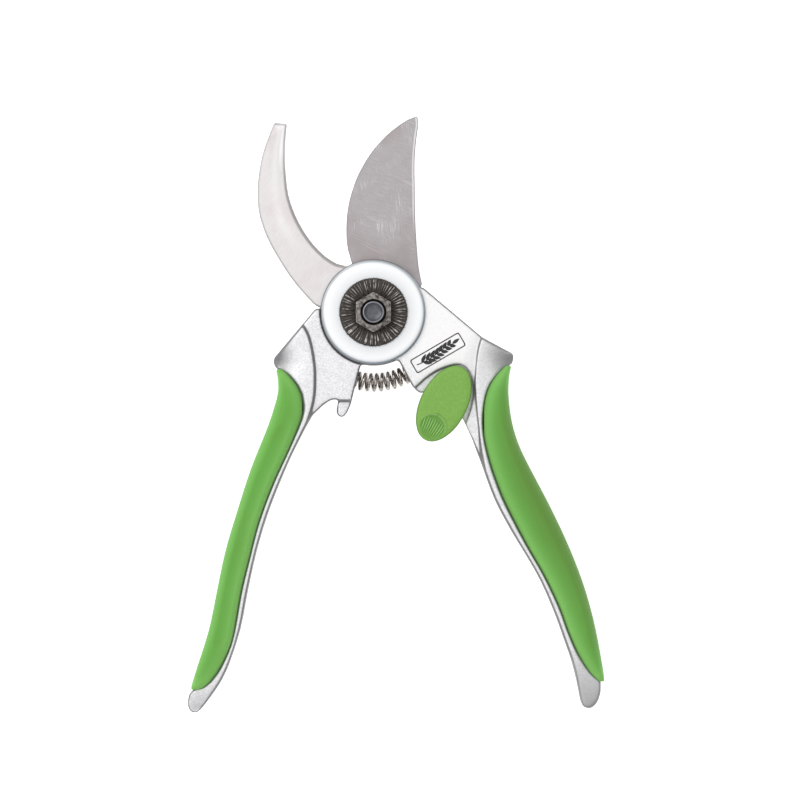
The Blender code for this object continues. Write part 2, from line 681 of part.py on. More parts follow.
def lock_pin(look):
    back = RECESS_FLOOR - LOCK_PIN_DEPTH + LAY_GAP
    front = LATCH_BACK + LATCH_PLATE - 0.1
    pin = turned("lock_pin", [(LOCK_PIN_RADIUS, back), (LOCK_PIN_RADIUS, front)], LOCK, 32)
    return finish(pin, look)


def lock_washer(look):
    back = RECESS_FLOOR + LAY_GAP
    ring = turned("lock_washer", [(3.8, back), (3.8, back + LOCK_WASHER)], LOCK, 32)
    bore(ring, LOCK_PIN_RADIUS + BORE_GAP, -FAR, FAR, LOCK, 32)
    return finish(ring, look)


# ---------------------------------------------------------------- fasteners

def blade_rivets(look):
    for number, angle in enumerate(RIVET_ANGLES, 1):
        back, front = HEAD_BACK + LAY_GAP, BLADE_BACK + BLADE_PLATE
        rivet = turned(f"blade_rivet_{number}", [(RIVET_RADIUS, back), (RIVET_RADIUS, front)],
                       polar(RIVET_CIRCLE, angle), 24)
        finish(rivet, look)


def tang_screws(look):
    for number, place in enumerate(head(*SCREW_PLACES), 1):
        back = HEAD_BACK + LAY_GAP
        neck = back + SCREW_HEAD
        front = HOOK_BACK + HOOK_PLATE
        profile = [(SCREW_HEAD_RADIUS - 0.3, back), (SCREW_HEAD_RADIUS, back + 0.3),
                   (SCREW_HEAD_RADIUS, neck), (SCREW_RADIUS, neck), (SCREW_RADIUS, front)]
        finish(turned(f"tang_screw_{number}", profile, place, 24), look)


# ---------------------------------------------------------------- the whole

def main():
    clear_scene()
    painted = material("painted aluminium", (0.82, 0.81, 0.82), 0.4, 0.35)
    rubber = material("green rubber", (0.15, 0.45, 0.08), 0.6, 0.0)
    button = material("green plastic", (0.2, 0.47, 0.1), 0.45, 0.0)
    blade = material("brushed steel", (0.5, 0.48, 0.49), 0.35, 1.0)
    hook = material("polished steel", (0.75, 0.74, 0.72), 0.3, 1.0)
    dark = material("blackened steel", (0.06, 0.055, 0.05), 0.45, 0.9)
    plated = material("plated steel", (0.17, 0.17, 0.2), 0.35, 1.0)
    wire = material("spring wire", (0.14, 0.11, 0.09), 0.4, 1.0)
    satin = material("satin aluminium", (0.88, 0.9, 0.92), 0.35, 0.6)
    bronze = material("bronze", (0.5, 0.33, 0.15), 0.4, 1.0)

    left_handle(painted)
    right_handle(painted)
    grip("left_grip", left_arm(LEFT_OUTER), left_arm(LEFT_BORDER), GRIP_GAP + 0.7, rubber)
    grip("right_grip", right_arm(RIGHT_OUTER), right_arm(RIGHT_BORDER), -GRIP_GAP - 0.7, rubber)
    cutting_blade(blade)
    counter_blade(hook)
    pivot_bolt(plated)
    washer("pivot_bush", BUSH_RADIUS, BUSH_BORE, HEAD_BACK + LAY_GAP, LAP_BACK - LAY_GAP, plated)
    washer("thrust_washer", THRUST_WASHER_RADIUS, PLATE_BORE, THRUST_BACK, THRUST_BACK + THRUST_WASHER,
           bronze)
    cover_disc(satin)
    washer("toothed_washer", TOOTHED_WASHER_RADIUS, BUSH_BORE, TEETH_BACK, TEETH_BACK + TOOTHED_WASHER,
           dark, 0.2)
    pivot_nut(dark)
    return_spring(wire)
    lock_latch(plated)
    lock_button(button)
    lock_pin(plated)
    lock_washer(plated)
    blade_rivets(plated)
    tang_screws(plated)


main()
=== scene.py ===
"""Looks of the bypass pruning shears: finished pieces, materials, floor, light and camera.

The pivot axis is Z through the origin, the shears lie on z = 0 and the jaws point to +Y. Sizes below
are in millimetres and MM turns them into metres. Fitted pieces take their place from the CAD boxes.
"""
from math import atan2, cos, hypot, pi, radians, sin

import bmesh
import bpy
import numpy as np
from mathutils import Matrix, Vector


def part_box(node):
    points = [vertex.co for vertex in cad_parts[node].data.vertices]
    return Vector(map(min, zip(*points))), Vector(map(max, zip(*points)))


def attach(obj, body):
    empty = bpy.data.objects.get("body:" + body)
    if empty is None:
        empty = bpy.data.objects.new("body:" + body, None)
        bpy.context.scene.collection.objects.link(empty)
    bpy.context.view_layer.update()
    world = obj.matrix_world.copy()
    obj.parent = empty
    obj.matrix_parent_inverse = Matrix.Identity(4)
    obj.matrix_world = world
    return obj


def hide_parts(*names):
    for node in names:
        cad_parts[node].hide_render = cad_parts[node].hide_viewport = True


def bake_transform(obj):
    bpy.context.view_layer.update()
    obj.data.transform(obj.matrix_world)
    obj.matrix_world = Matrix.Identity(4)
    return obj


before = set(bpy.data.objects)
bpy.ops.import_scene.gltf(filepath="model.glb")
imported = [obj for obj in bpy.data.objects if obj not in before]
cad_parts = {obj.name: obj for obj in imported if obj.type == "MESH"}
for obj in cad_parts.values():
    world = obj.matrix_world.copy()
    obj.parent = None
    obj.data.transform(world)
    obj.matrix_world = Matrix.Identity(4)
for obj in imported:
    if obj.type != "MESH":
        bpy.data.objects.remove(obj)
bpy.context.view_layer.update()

MM = 0.001

# How finely the cast, moulded and ground pieces are remeshed, and how many times that is smoothed.
HANDLE_VOXEL, HANDLE_SMOOTHING = 0.36, 15
GRIP_VOXEL, GRIP_SMOOTHING = 0.42, 16
BLADE_VOXEL, BLADE_SMOOTHING = 0.23, 1

# The cast handles. Beside the lock the casting is smoothed less; CRISP is the X, the Y and the half
# sizes of that place. At its shoulders and butts it falls away: X, Y, how far round it, the share of
# its half thickness that is lost there, and how much painted shade darkens it there.
HANDLE_SWELL = 0.15           # gives back, sideways, what the smoothing took
CRISP_SMOOTHING = 4
CRISP = (31.5, -27.0, 5.0, 10.0)
SHOULDERS = ((-32.3, -15.6, 12.0, 0.66, 0.0), (45.3, -15.5, 16.0, 0.85, 0.35))
BUTTS = ((-57.5, -129.0, 18.0, 0.5, 0.15), (72.5, -129.5, 22.0, 0.5, 0.9))
LIT_PATCH = (21.0, -7.0, 15.0)   # a pool of painted light on the right head, which also evens the paint's grain: X, Y and how far round it

# The moulded grips, by the distance from the seam with the handle.
GRIP_SWELL = 0.42             # gives back what the smoothing took
GRIP_PRESS, PRESS_WIDTH = 0.35, 1.5              # swollen further beside the seam, to close it
LIGHT_AT, LIGHT_WIDTH = 1.4, 2.4                 # a band of painted light
SHADE_FROM, SHADE_WIDTH = 2.5, 8.2                 # where painted shade darkens the right grip's outer side

# The blades.
COVERED_RADIUS = 17.6         # up to here the cover disc hides them
GRIND_WIDTH = 6.5             # ground bevel behind the cutting edge
GRIND_LEAVES = 0.35           # thickness left at the cutting edge
SPINE_WIDTH, SPINE_DEPTH = 0.9, 0.1              # eased edge of the cutting blade's spine
GLINT_WIDTH = 0.22            # painted highlight along that edge
STAIN_RADIUS, STAIN_WIDTH = 17.0, 4.5            # stain beside the cover disc
HOOK_EDGE_WIDTH, HOOK_EDGE_DEPTH = 0.9, 0.6      # chamfer along the hook's hollow side
HOOK_FACET_WIDTH, HOOK_FACET_DEPTH = 5.0, 0.35   # broader facet beside it, toward the tip
RIM_WIDTH = 0.42              # painted shade as a line round each blade

# The pieces on the pivot.
NUT_HOLE = 3.8                # the hole of the disc, of the washer and of the nut
DISC_LIP, DISC_SIDE = 2.3, 0.35                  # width of the rolled lip and height of its upright edge
RIBS = 60
RIB_INNER, RIB_OUTER = 5.6, 11.3
RIB_WIDTH, RIB_HEIGHT = 0.80, 0.60
NUT_CHAMFER, NUT_FALL = 5.55, 0.55               # where the nut's face starts to fall away, and how steeply
NUT_POINTS = 144
BOLT_HEAD = 2.6
BOLT_SHANK = 3.5
BOLT_DISH, DISH_DEPTH = 2.9, 0.45

# The return spring: a coil on an arc round the pivot, straight inside its two pockets.
COIL_RADIUS, WIRE_RADIUS = 2.575, 0.52
COIL_TURNS, TURN_POINTS = 14.5, 26
BEND_RADIUS = 22.8
BEND_FROM, BEND_TO = -104.3, -62.0
POCKET_LENGTH = 6.475

# The lock button: a leaning oval with a ribbed thumb pad.
BUTTON_LEAN = 27.0
BUTTON_SIDE = 1.2             # height of its upright edge
BUTTON_ROUND = 2.0            # width of its rounded shoulder
BUTTON_POINTS = 180
THUMB_X, THUMB_Y, THUMB_RADIUS = 19.1, -37.4, 4.4
THUMB_DEPTH = 0.45            # how deep the pad is, and how high its crescent stands
THUMB_TOWARD = 62.0           # bearing of the crescent and of the ribs
THUMB_RIBS, THUMB_STEP = 9, 2.25                 # how many ribs, and the degrees between two
THUMB_FAN = 20.0              # the ribs fan out from a centre this far below the pad's
THUMB_RIB_BACK, THUMB_RIB_FRONT = 3.9, 3.3       # how far they reach to each side of the pad's centre
THUMB_RIB_WIDTH, THUMB_RIB_HEIGHT = 0.56, 0.66

# The badge on the right head. Its back lies a hair inside the head's face.
BADGE_X, BADGE_Y, BADGE_LEAN = 20.9, -13.2, 30.3
BADGE_LENGTH, BADGE_WIDTH, BADGE_LINE, BADGE_CORNER = 18.4, 5.0, 0.34, 0.7
BADGE_THICKNESS = 0.05
BADGE_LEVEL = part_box("cover_disc")[0][2] / MM - 0.12
STEM_FROM, STEM_TO, STEM_POINTS = -7.8, 5.6, 25
STEM_WIDTH = 0.17             # half its width at the root

# Small and inner CAD parts that keep their shape, by their finish.
PLAIN_NODES = {
    "bronze": ("thrust_washer", "pivot_bush"),
    "blade_steel": ("lock_latch",),
    "dark_steel": ("lock_washer",),
    "plated_steel": ("lock_pin", "blade_rivet_1", "blade_rivet_2", "tang_screw_1", "tang_screw_2")}

# The camera looks straight down, from far enough to flatten the view.
CAMERA_X, CAMERA_Y, CAMERA_HEIGHT = 8.61, -28.5, 2400.0
VIEW_WIDTH, VIEW_LEVEL = 260.0, 11.5             # how wide the view is, and at which level
SENSOR_WIDTH = 36.0

# Soft lights: name, place in metres, size and power.
LIGHTS = (("key", (-0.55, 0.40, 0.85), 0.7, 3.6), ("fill", (0.5, 0.3, 0.9), 0.8, 1.0))


# ---------------------------------------------------------------- node trees

class Socket:
    """One socket of a node tree. Python operators on numbers add Math nodes."""

    def __init__(self, tree, socket):
        self.tree = tree
        self.socket = socket

    def math(self, operation, *values):
        return self.tree.node("ShaderNodeMath", {"operation": operation}, dict(enumerate(values)))

    def __add__(self, other):
        return self.math("ADD", self, other)

    def __radd__(self, other):
        return self.math("ADD", other, self)

    def __sub__(self, other):
        return self.math("SUBTRACT", self, other)

    def __rsub__(self, other):
        return self.math("SUBTRACT", other, self)

    def __mul__(self, other):
        return self.math("MULTIPLY", self, other)

    def __rmul__(self, other):
        return self.math("MULTIPLY", other, self)

    def __truediv__(self, other):
        return self.math("DIVIDE", self, other)

    def __pow__(self, other):
        return self.math("POWER", self, other)

    def smooth(self, low, high):
        """0 below low, 1 above high and an S between."""
        return self.tree.node("ShaderNodeMapRange", {"interpolation_type": "SMOOTHSTEP"},
                              {"Value": self, "From Min": low, "From Max": high})

    def least(self, other):
        return self.math("MINIMUM", self, other)

    def most(self, other):
        return self.math("MAXIMUM", self, other)


class Tree:
    """A node tree. One method makes any node: settings first, then its sockets' values or links."""

    def __init__(self, nodes):
        self.nodes = nodes

    def put(self, target, value):
        """Links a socket to this one, or sets its value."""
        if isinstance(value, Socket):
            self.nodes.links.new(value.socket, target)
        elif target.type == "RGBA" and len(value) == 3:
            target.default_value = (*value, 1.0)
        else:
            target.default_value = value

    def node(self, kind, settings=None, inputs=None, output=0):
        made = self.nodes.nodes.new(kind)
        for name, value in (settings or {}).items():
            setattr(made, name, value)
        for name, value in (inputs or {}).items():
            self.put(made.inputs[name], value)
        return Socket(self, made.outputs[output])


class Finish(Tree):
    """A material of one Principled shader. Uniform values go straight on the shader's sockets."""

    def __init__(self, name, **uniform):
        self.material = bpy.data.materials.new(name)
        self.material.use_nodes = True
        super().__init__(self.material.node_tree)
        self.shader = self.nodes.nodes["Principled BSDF"]
        self.set({key.replace("_", " "): value for key, value in uniform.items()})

    def set(self, inputs):
        for name, value in inputs.items():
            self.put(self.shader.inputs[name], value)

    def place(self, turn=0.0, stretch=(1.0, 1.0, 1.0)):
        """Object coordinates in millimetres, turned about Z and then stretched."""
        where = self.node("ShaderNodeTexCoord", output="Object")
        turned = self.node("ShaderNodeVectorRotate", {"rotation_type": "Z_AXIS"},
                           {"Vector": where, "Angle": radians(turn)})
        scale = tuple(share / MM for share in stretch)
        return self.node("ShaderNodeVectorMath", {"operation": "MULTIPLY"}, {0: turned, 1: scale})

    def noise(self, where, scale, detail=2.0, roughness=0.5):
        return self.node("ShaderNodeTexNoise", {}, {
            "Vector": where, "Scale": scale, "Detail": detail, "Roughness": roughness})

    def grains(self, where, scale):
        """A random number for each small cell."""
        colour = self.node("ShaderNodeTexVoronoi", {"feature": "F1"},
                           {"Vector": where, "Scale": scale}, output="Color")
        return self.node("ShaderNodeSeparateColor", {}, {"Color": colour})

    def attribute(self, name):
        """A number stored per vertex; 0 on a mesh that has none of this name."""
        return self.node("ShaderNodeAttribute", {"attribute_name": name}, output="Fac")

    def mix(self, first, second, share):
        made = self.nodes.nodes.new("ShaderNodeMix")
        made.data_type = "RGBA"
        self.put(made.inputs["Factor"], share)
        self.put(made.inputs[6], first)
        self.put(made.inputs[7], second)
        return Socket(self, made.outputs[2])

    def bump(self, height, depth, under=None):
        """Turns a height from 0 to 1 into a normal; depth is in millimetres."""
        inputs = {"Height": height, "Distance": depth * MM}
        if under:
            inputs["Normal"] = under
        return self.node("ShaderNodeBump", {}, inputs)


class Builder(Tree):
    """A Geometry Nodes tree with named inputs, ending in Realize Instances and Set Material."""

    KINDS = {int: "NodeSocketInt", float: "NodeSocketFloat", tuple: "NodeSocketVector"}

    def __init__(self, name, **inputs):
        super().__init__(bpy.data.node_groups.new(name, "GeometryNodeTree"))
        for label, value in inputs.items():
            self.nodes.interface.new_socket(label, in_out="INPUT", socket_type=self.KINDS[type(value)])
        self.nodes.interface.new_socket("Material", in_out="INPUT", socket_type="NodeSocketMaterial")
        self.nodes.interface.new_socket("Geometry", in_out="OUTPUT", socket_type="NodeSocketGeometry")
        self.values = inputs
        self.entry = self.nodes.nodes.new("NodeGroupInput")

    def input(self, label):
        return Socket(self, self.entry.outputs[label])

    def end(self, geometry):
        real = self.node("GeometryNodeRealizeInstances", {}, {"Geometry": geometry})
        even = self.node("GeometryNodeSetShadeSmooth", {}, {"Geometry": real})
        coated = self.node("GeometryNodeSetMaterial", {},
                           {"Geometry": even, "Material": self.input("Material")})
        leave = self.nodes.nodes.new("NodeGroupOutput")
        self.put(leave.inputs["Geometry"], coated)

    def build(self, name, finish, **changes):
        """A plain mesh object of this tree with these inputs."""
        carrier = bpy.data.objects.new(name + "_tree", bpy.data.meshes.new(name))
        bpy.context.scene.collection.objects.link(carrier)
        modifier = carrier.modifiers.new("Build", "NODES")
        modifier.node_group = self.nodes
        values = {**self.values, **changes, "Material": finish.material}
        for item in self.nodes.interface.items_tree:
            if item.in_out == "INPUT":
                modifier[item.identifier] = values[item.name]
        mesh = plain_mesh(carrier)
        bpy.data.objects.remove(carrier)
        return linked(name, mesh)


# ---------------------------------------------------------------- meshes

def plain_mesh(piece):
    """What a piece's modifiers make of it, as a mesh of its own."""
    graph = bpy.context.evaluated_depsgraph_get()
    return bpy.data.meshes.new_from_object(piece.evaluated_get(graph))


def linked(name, mesh):
    """An object of this mesh in the scene."""
    piece = bpy.data.objects.new(name, mesh)
    bpy.context.scene.collection.objects.link(piece)
    return piece


def mesh_from(shell, name):
    """A mesh of what was built in this bmesh, which is freed."""
    mesh = bpy.data.meshes.new(name)
    shell.to_mesh(mesh)
    shell.free()
    return mesh


def corners(mesh):
    """The vertices of a mesh, in millimetres."""
    found = np.empty(len(mesh.vertices) * 3, np.float32)
    mesh.vertices.foreach_get("co", found)
    return found.reshape(-1, 3).astype(float) / MM


def move(mesh, points):
    """Puts the vertices of a mesh at these points, given in millimetres."""
    mesh.vertices.foreach_set("co", (points * MM).astype(np.float32).ravel())
    mesh.update()


def mark(mesh, name, values):
    """Stores a number per vertex for the material to read."""
    attribute = mesh.attributes.new(name, "FLOAT", "POINT")
    attribute.data.foreach_set("value", np.asarray(values, np.float32))


def directions(mesh):
    """The outward direction at each vertex."""
    normals = np.empty(len(mesh.vertices) * 3, np.float32)
    mesh.vertices.foreach_get("normal", normals)
    return normals.reshape(-1, 3)


def mark_slope(mesh):
    """Stores how far each vertex leans from facing front or back: 0 on the flats, 1 on the walls."""
    mark(mesh, "slope", 1 - np.abs(directions(mesh)[:, 2]))


def smoothstep(value):
    """0 up to 0, 1 from 1 and an S between."""
    value = np.clip(value, 0.0, 1.0)
    return value * value * (3 - 2 * value)


def bell(value, middle, width):
    """1 at the middle, falling away on both sides over about this width."""
    return np.exp(-((value - middle) / width) ** 2)


def away(points, x=0.0, y=0.0):
    """How far each point is, in XY, from a place or else from the pivot."""
    return np.hypot(points[:, 0] - x, points[:, 1] - y)


def box_of(node):
    """Lowest and highest corner of a CAD node, in millimetres."""
    return tuple(np.array(corner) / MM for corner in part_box(node))


def finish_piece(piece, look, body, *nodes, crease=None):
    """Gives a piece its material, its shading and its body, in place of these CAD nodes."""
    piece.data.materials.clear()
    piece.data.materials.append(look.material)
    piece.data.shade_smooth()
    if crease:
        piece.data.set_sharp_from_angle(angle=radians(crease))
    if nodes:
        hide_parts(*nodes)
    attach(piece, body)
    return piece


def recast(node, voxel, smoothing):
    """A finely meshed copy of a CAD node with its edges rounded off."""
    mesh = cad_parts[node].data.copy()
    shell = bmesh.new()
    shell.from_mesh(mesh)
    bmesh.ops.remove_doubles(shell, verts=shell.verts, dist=0.002 * MM)
    shell.to_mesh(mesh)
    shell.free()
    source = linked(node + "_source", mesh)
    remesh = source.modifiers.new("Remesh", "REMESH")
    remesh.mode = "VOXEL"
    remesh.voxel_size = voxel * MM
    soften = source.modifiers.new("Smooth", "SMOOTH")
    soften.factor = 0.5
    soften.iterations = smoothing
    piece = linked(node + "_finished", plain_mesh(source))
    bpy.data.objects.remove(source)
    return piece


def outline(node):
    """Edges round the front face of a plate: starts, ends and outward directions, in XY."""
    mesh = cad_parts[node].data
    points = corners(mesh)
    top = points[:, 2].max() - 0.01
    keys = np.round(points, 2)
    edges = {}
    for face in mesh.polygons:
        ring = [tuple(keys[i]) for i in face.vertices]
        if min(point[2] for point in ring) < top:
            continue
        for start, end in zip(ring, ring[1:] + ring[:1]):
            if (end, start) in edges:
                del edges[(end, start)]
            else:
                edges[(start, end)] = True
    lines = np.array([(start[:2], end[:2]) for start, end in edges])
    along = lines[:, 1] - lines[:, 0]
    out = np.stack([along[:, 1], -along[:, 0]], 1) / np.linalg.norm(along, axis=1)[:, None]
    return lines[:, 0], lines[:, 1], out


def distance_to(points, starts, ends):
    """How far each point is from the nearest of these edges, in XY."""
    nearest = np.full(len(points), 1e9)
    for start, end in zip(starts, ends):
        along = end - start
        share = np.clip((points[:, :2] - start) @ along / max(along @ along, 1e-9), 0, 1)
        gap = points[:, :2] - start - share[:, None] * along
        nearest = np.minimum(nearest, np.hypot(gap[:, 0], gap[:, 1]))
    return nearest


def rounded(profile, radius, steps):
    """A path whose inner corners become arcs of about this radius."""
    path = [profile[0]]
    for before, corner, after in zip(profile, profile[1:], profile[2:]):
        into = np.subtract(before, corner)
        out = np.subtract(after, corner)
        reach = min(radius, np.linalg.norm(into) * 0.45, np.linalg.norm(out) * 0.45)
        start = corner + into / np.linalg.norm(into) * reach
        end = corner + out / np.linalg.norm(out) * reach
        for i in range(steps + 1):
            share = i / steps
            bend = (1 - share) ** 2 * start + 2 * share * (1 - share) * np.array(corner) + share ** 2 * end
            path.append(tuple(bend))
    path.append(profile[-1])
    return path


def band(shell, lower, upper):
    """Faces between two rings of vertices. A ring of one vertex is a pole."""
    count = max(len(lower), len(upper))
    for i in range(count):
        j = (i + 1) % count
        face = [lower[i % len(lower)], lower[j % len(lower)],
                upper[j % len(upper)], upper[i % len(upper)]]
        shell.faces.new(list(dict.fromkeys(face)))


def skin(name, rings, closed=False):
    """A surface through rings of equal point counts. Rings of one point close it as poles."""
    shell = bmesh.new()
    made = [[shell.verts.new(np.array(point) * MM) for point in ring] for ring in rings]
    for lower, upper in list(zip(made, made[1:])) + ([(made[-1], made[0])] if closed else []):
        band(shell, lower, upper)
    bmesh.ops.recalc_face_normals(shell, faces=shell.faces)
    return linked(name, mesh_from(shell, name))


def turned(name, profile, segments=128):
    """A profile of radius and height turned round the pivot; it closes on the axis or on itself."""
    angles = [2 * pi * i / segments for i in range(segments)]
    rings = []
    for radius, height in profile:
        if radius < 1e-6:
            rings.append([(0.0, 0.0, height)])
        else:
            rings.append([(radius * cos(a), radius * sin(a), height) for a in angles])
    return skin(name, rings, closed=profile[0][0] > 1e-6)


def levels(node):
    """Lowest and highest level of a CAD node, and its outer radius about the pivot."""
    low, high = box_of(node)
    return low[2], high[2], (high[0] - low[0]) / 2


# ---------------------------------------------------------------- materials

def painted_aluminium():
    """Silver paint on a casting: fine flakes, a soft orange peel, painted shade on its edges and where it
    falls away, and a pool of painted light.
    """
    look = Finish("painted_aluminium", Coat_Roughness=0.25)
    where = look.place()
    flake = look.grains(where, 2.7)
    speck = look.noise(where, 1.5, 4.0, 0.75)
    clouds = look.noise(where, 0.11, 3.0)
    edge = look.attribute("slope").smooth(0.008, 0.17)
    sparkle = flake * 0.6 + speck * 0.6 - 0.15 + clouds * 0.15
    # Painted shade on the edges and walls, by how steep they are, a little less where the shoulders and
    # butts fall away.
    painted_edge_shade = edge * (0.84 - look.attribute("painted_falloff_shade") * 0.5)
    silver = look.mix((0.66, 0.645, 0.67), (1.0, 0.99, 0.995), sparkle)
    # Painted light: a paler pool on the right head, which also evens the grain.
    silver = look.mix(silver, (1.0, 0.985, 0.975), look.attribute("rubbed_and_painted_light") * 0.75)
    # Painted shade: greyer where the shoulders and butts fall away.
    silver = look.mix(silver, (0.40, 0.40, 0.40), look.attribute("painted_falloff_shade"))
    look.set({
        "Base Color": look.mix(silver, (0.13, 0.125, 0.13), painted_edge_shade),
        "Metallic": 0.30 + edge * 0.35,
        "Roughness": 0.42 + flake * 0.14,
        "Normal": look.bump(speck + flake * 0.4, 0.03),
        "Coat Weight": 0.1})
    return look


def green_rubber():
    """Soft matt green moulding, finely grained, browner in patches on its crown; painted shade on the crown
    and on the right grip's outer side, painted light beside the seam.
    """
    look = Finish("green_rubber", Sheen_Weight=0.02, Sheen_Roughness=0.5, Sheen_Tint=(0.7, 1.0, 0.5),
                  Specular_IOR_Level=0.32)
    where = look.place()
    crown = 1 - look.attribute("slope").smooth(0.02, 0.42)
    patches = look.noise(where, 0.09, 4.0)
    grain = look.noise(where, 5.5, 2.0)
    # Painted shade on the crown; the paler sloping borders stand for the light they catch.
    green = look.mix((0.150, 0.430, 0.070), (0.132, 0.395, 0.058), crown * 0.9)
    green = look.mix(green, (0.135, 0.345, 0.045), crown * patches.smooth(0.45, 0.75) * 0.6)
    # Painted shade on the right grip's outer side.
    green = look.mix(green, (0.122, 0.284, 0.042), look.attribute("worn_and_painted_light"))
    # Painted light: a paler band beside the seam.
    green = look.mix(green, (0.230, 0.545, 0.125), look.attribute("inner") * 0.75)
    look.set({
        "Base Color": look.mix(green, (0.19, 0.52, 0.11), grain.smooth(0.55, 0.8) * 0.35),
        "Roughness": 0.50 + grain * 0.2 + patches * 0.1,
        "Normal": look.bump(grain, 0.035, under=look.bump(look.noise(where, 1.1, 1.0), 0.03))})
    return look


def green_plastic():
    """Matt injection-moulded green, faintly mottled, with painted shade on its walls and in its thumb pad,
    and painted highlights on its ribs and crescent.
    """
    look = Finish("green_plastic", Specular_IOR_Level=0.42)
    where = look.place()
    mottle = look.noise(where, 1.3, 5.0, 0.7)
    edge = look.attribute("slope").smooth(0.06, 0.45)
    green = look.mix((0.185, 0.405, 0.062), (0.235, 0.465, 0.086), mottle.smooth(0.3, 0.7))
    # Painted shade on the walls.
    green = look.mix(green, (0.055, 0.19, 0.022), edge * 0.8)
    # Painted shade in the thumb pad.
    green = look.mix(green, (0.09, 0.28, 0.035), look.attribute("painted_pad_shade") * 0.55)
    look.set({
        # Painted highlights on the ribs' tops and on the pad's crescent.
        "Base Color": look.mix(green, (0.40, 0.72, 0.24), look.attribute("high") * 0.9),
        "Roughness": 0.48 + mottle * 0.22,
        "Normal": look.bump(look.noise(where, 3.0, 3.0), 0.035)})
    return look


def ground_steel(name, shade, turn, grain, scratches, metallic, tint):
    """Steel ground in one direction: fine lines, cloudy stains and a few bright scratches, with painted
    shade on its rims and painted highlights in bands."""
    look = Finish(name)
    lines = look.noise(look.place(turn, (0.30, 6.0, 1.0)), 1.0, 5.0, 0.75)
    fine = look.noise(look.place(turn, (0.9, 16.0, 1.0)), 1.0, 2.0)
    long = look.noise(look.place(turn + 3, (0.05, 5.0, 1.0)), 1.0, 1.0)
    cross = look.noise(look.place(turn + 62, (0.16, 9.0, 1.0)), 1.0, 1.0)
    stains = look.noise(look.place(), 0.08, 4.0)
    scuffed = look.noise(look.place(-70), 0.13, 2.0).smooth(0.5, 0.66)
    marks = (cross.smooth(0.60, 0.72) * scuffed).most(long.smooth(0.69, 0.76) * 0.45) * scratches
    dark = tuple(part * (1 - 0.20 * grain) for part in shade)
    light = tuple(min(part * (1 + 0.12 * grain), 0.98) for part in shade)
    steel = look.mix(dark, light, lines.smooth(0.25, 0.75))
    browned = (shade[0] * 0.84, shade[1] * 0.79, shade[2] * 0.77)
    steel = look.mix(steel, browned, stains.smooth(0.45, 0.7) * tint)
    steel = look.mix(steel, (0.17, 0.145, 0.125), look.attribute("stain") * lines.smooth(0.2, 0.6) * 0.22)
    steel = look.mix(steel, (0.95, 0.95, 0.95), marks)
    # Painted highlights: the spine's glint and the hook's bright bands.
    steel = look.mix(steel, (0.98, 0.97, 0.97), look.attribute("painted_highlight"))
    look.set({
        # Painted shade as a line round the blade's edges.
        "Base Color": look.mix(steel, (0.20, 0.19, 0.19), look.attribute("rim") * 0.75),
        "Metallic": metallic,
        "Roughness": 0.30 + fine * 0.14 + stains * 0.1,
        "Normal": look.bump(lines * 0.7 + fine * 0.3, 0.012)})
    return look


def dark_steel():
    """Blackened steel, paler where it stands out, partly from wear and partly as a painted highlight."""
    look = Finish("dark_steel", Metallic=0.85)
    where = look.place()
    blotch = look.noise(where, 0.9, 4.0)
    # Paler where it stands out: partly wear, partly a painted highlight.
    worn_and_painted_light = look.attribute("high").smooth(0.5, 1.0)
    look.set({
        "Base Color": look.mix(look.mix((0.030, 0.026, 0.023), (0.110, 0.098, 0.088), blotch),
                               (0.70, 0.66, 0.63), worn_and_painted_light * blotch.smooth(0.25, 0.8)),
        "Roughness": 0.36 + blotch * 0.25,
        "Normal": look.bump(look.noise(where, 4.0, 3.0), 0.03)})
    return look


def plated_steel():
    """Dull zinc plate with paler edges, partly from wear and partly as a painted highlight."""
    look = Finish("plated_steel", Metallic=1.0)
    where = look.place()
    cloud = look.noise(where, 0.7, 4.0)
    # Paler edges: partly wear, partly a painted highlight.
    worn_and_painted_light = look.attribute("high").smooth(0.4, 1.0)
    look.set({
        "Base Color": look.mix(look.mix((0.065, 0.067, 0.075), (0.18, 0.18, 0.20), cloud),
                               (0.55, 0.56, 0.60), worn_and_painted_light * 0.35),
        "Roughness": 0.28 + cloud * 0.25,
        "Normal": look.bump(look.noise(where, 3.0, 2.0), 0.02)})
    return look


def spring_wire():
    """Oiled spring wire with drawing lines round it."""
    look = Finish("spring_wire", Metallic=0.9)
    where = look.place()
    cloud = look.noise(where, 1.2, 3.0)
    look.set({
        "Base Color": look.mix((0.10, 0.08, 0.07), (0.65, 0.595, 0.54), cloud.smooth(0.3, 0.68)),
        "Roughness": 0.18 + cloud * 0.12,
        "Normal": look.bump(look.noise(where, 6.0, 2.0), 0.01)})
    return look


def satin_aluminium():
    """Bead-blasted pale disc with a bluish-grey painted shade on its lip."""
    look = Finish("satin_aluminium")
    where = look.place()
    grain = look.noise(where, 4.5, 2.0)
    cloud = look.noise(where, 0.16, 3.0)
    lip = look.attribute("lip")
    face = look.mix((0.955, 0.965, 0.975), (1.0, 1.0, 1.0), cloud * 0.6 + grain * 0.4)
    look.set({
        # Painted shade on the lip.
        "Base Color": look.mix(face, (0.25, 0.30, 0.34), lip),
        "Metallic": 0.08 + lip * 0.5,
        "Roughness": 0.38 + grain * 0.14,
        "Normal": look.bump(grain, 0.012)})
    return look


def bronze():
    """Plain sintered bronze, unevenly tarnished."""
    look = Finish("bronze", Metallic=1.0)
    cloud = look.noise(look.place(), 0.8, 3.0)
    look.set({
        "Base Color": look.mix((0.34, 0.20, 0.09), (0.55, 0.36, 0.18), cloud),
        "Roughness": 0.3 + cloud * 0.2})
    return look


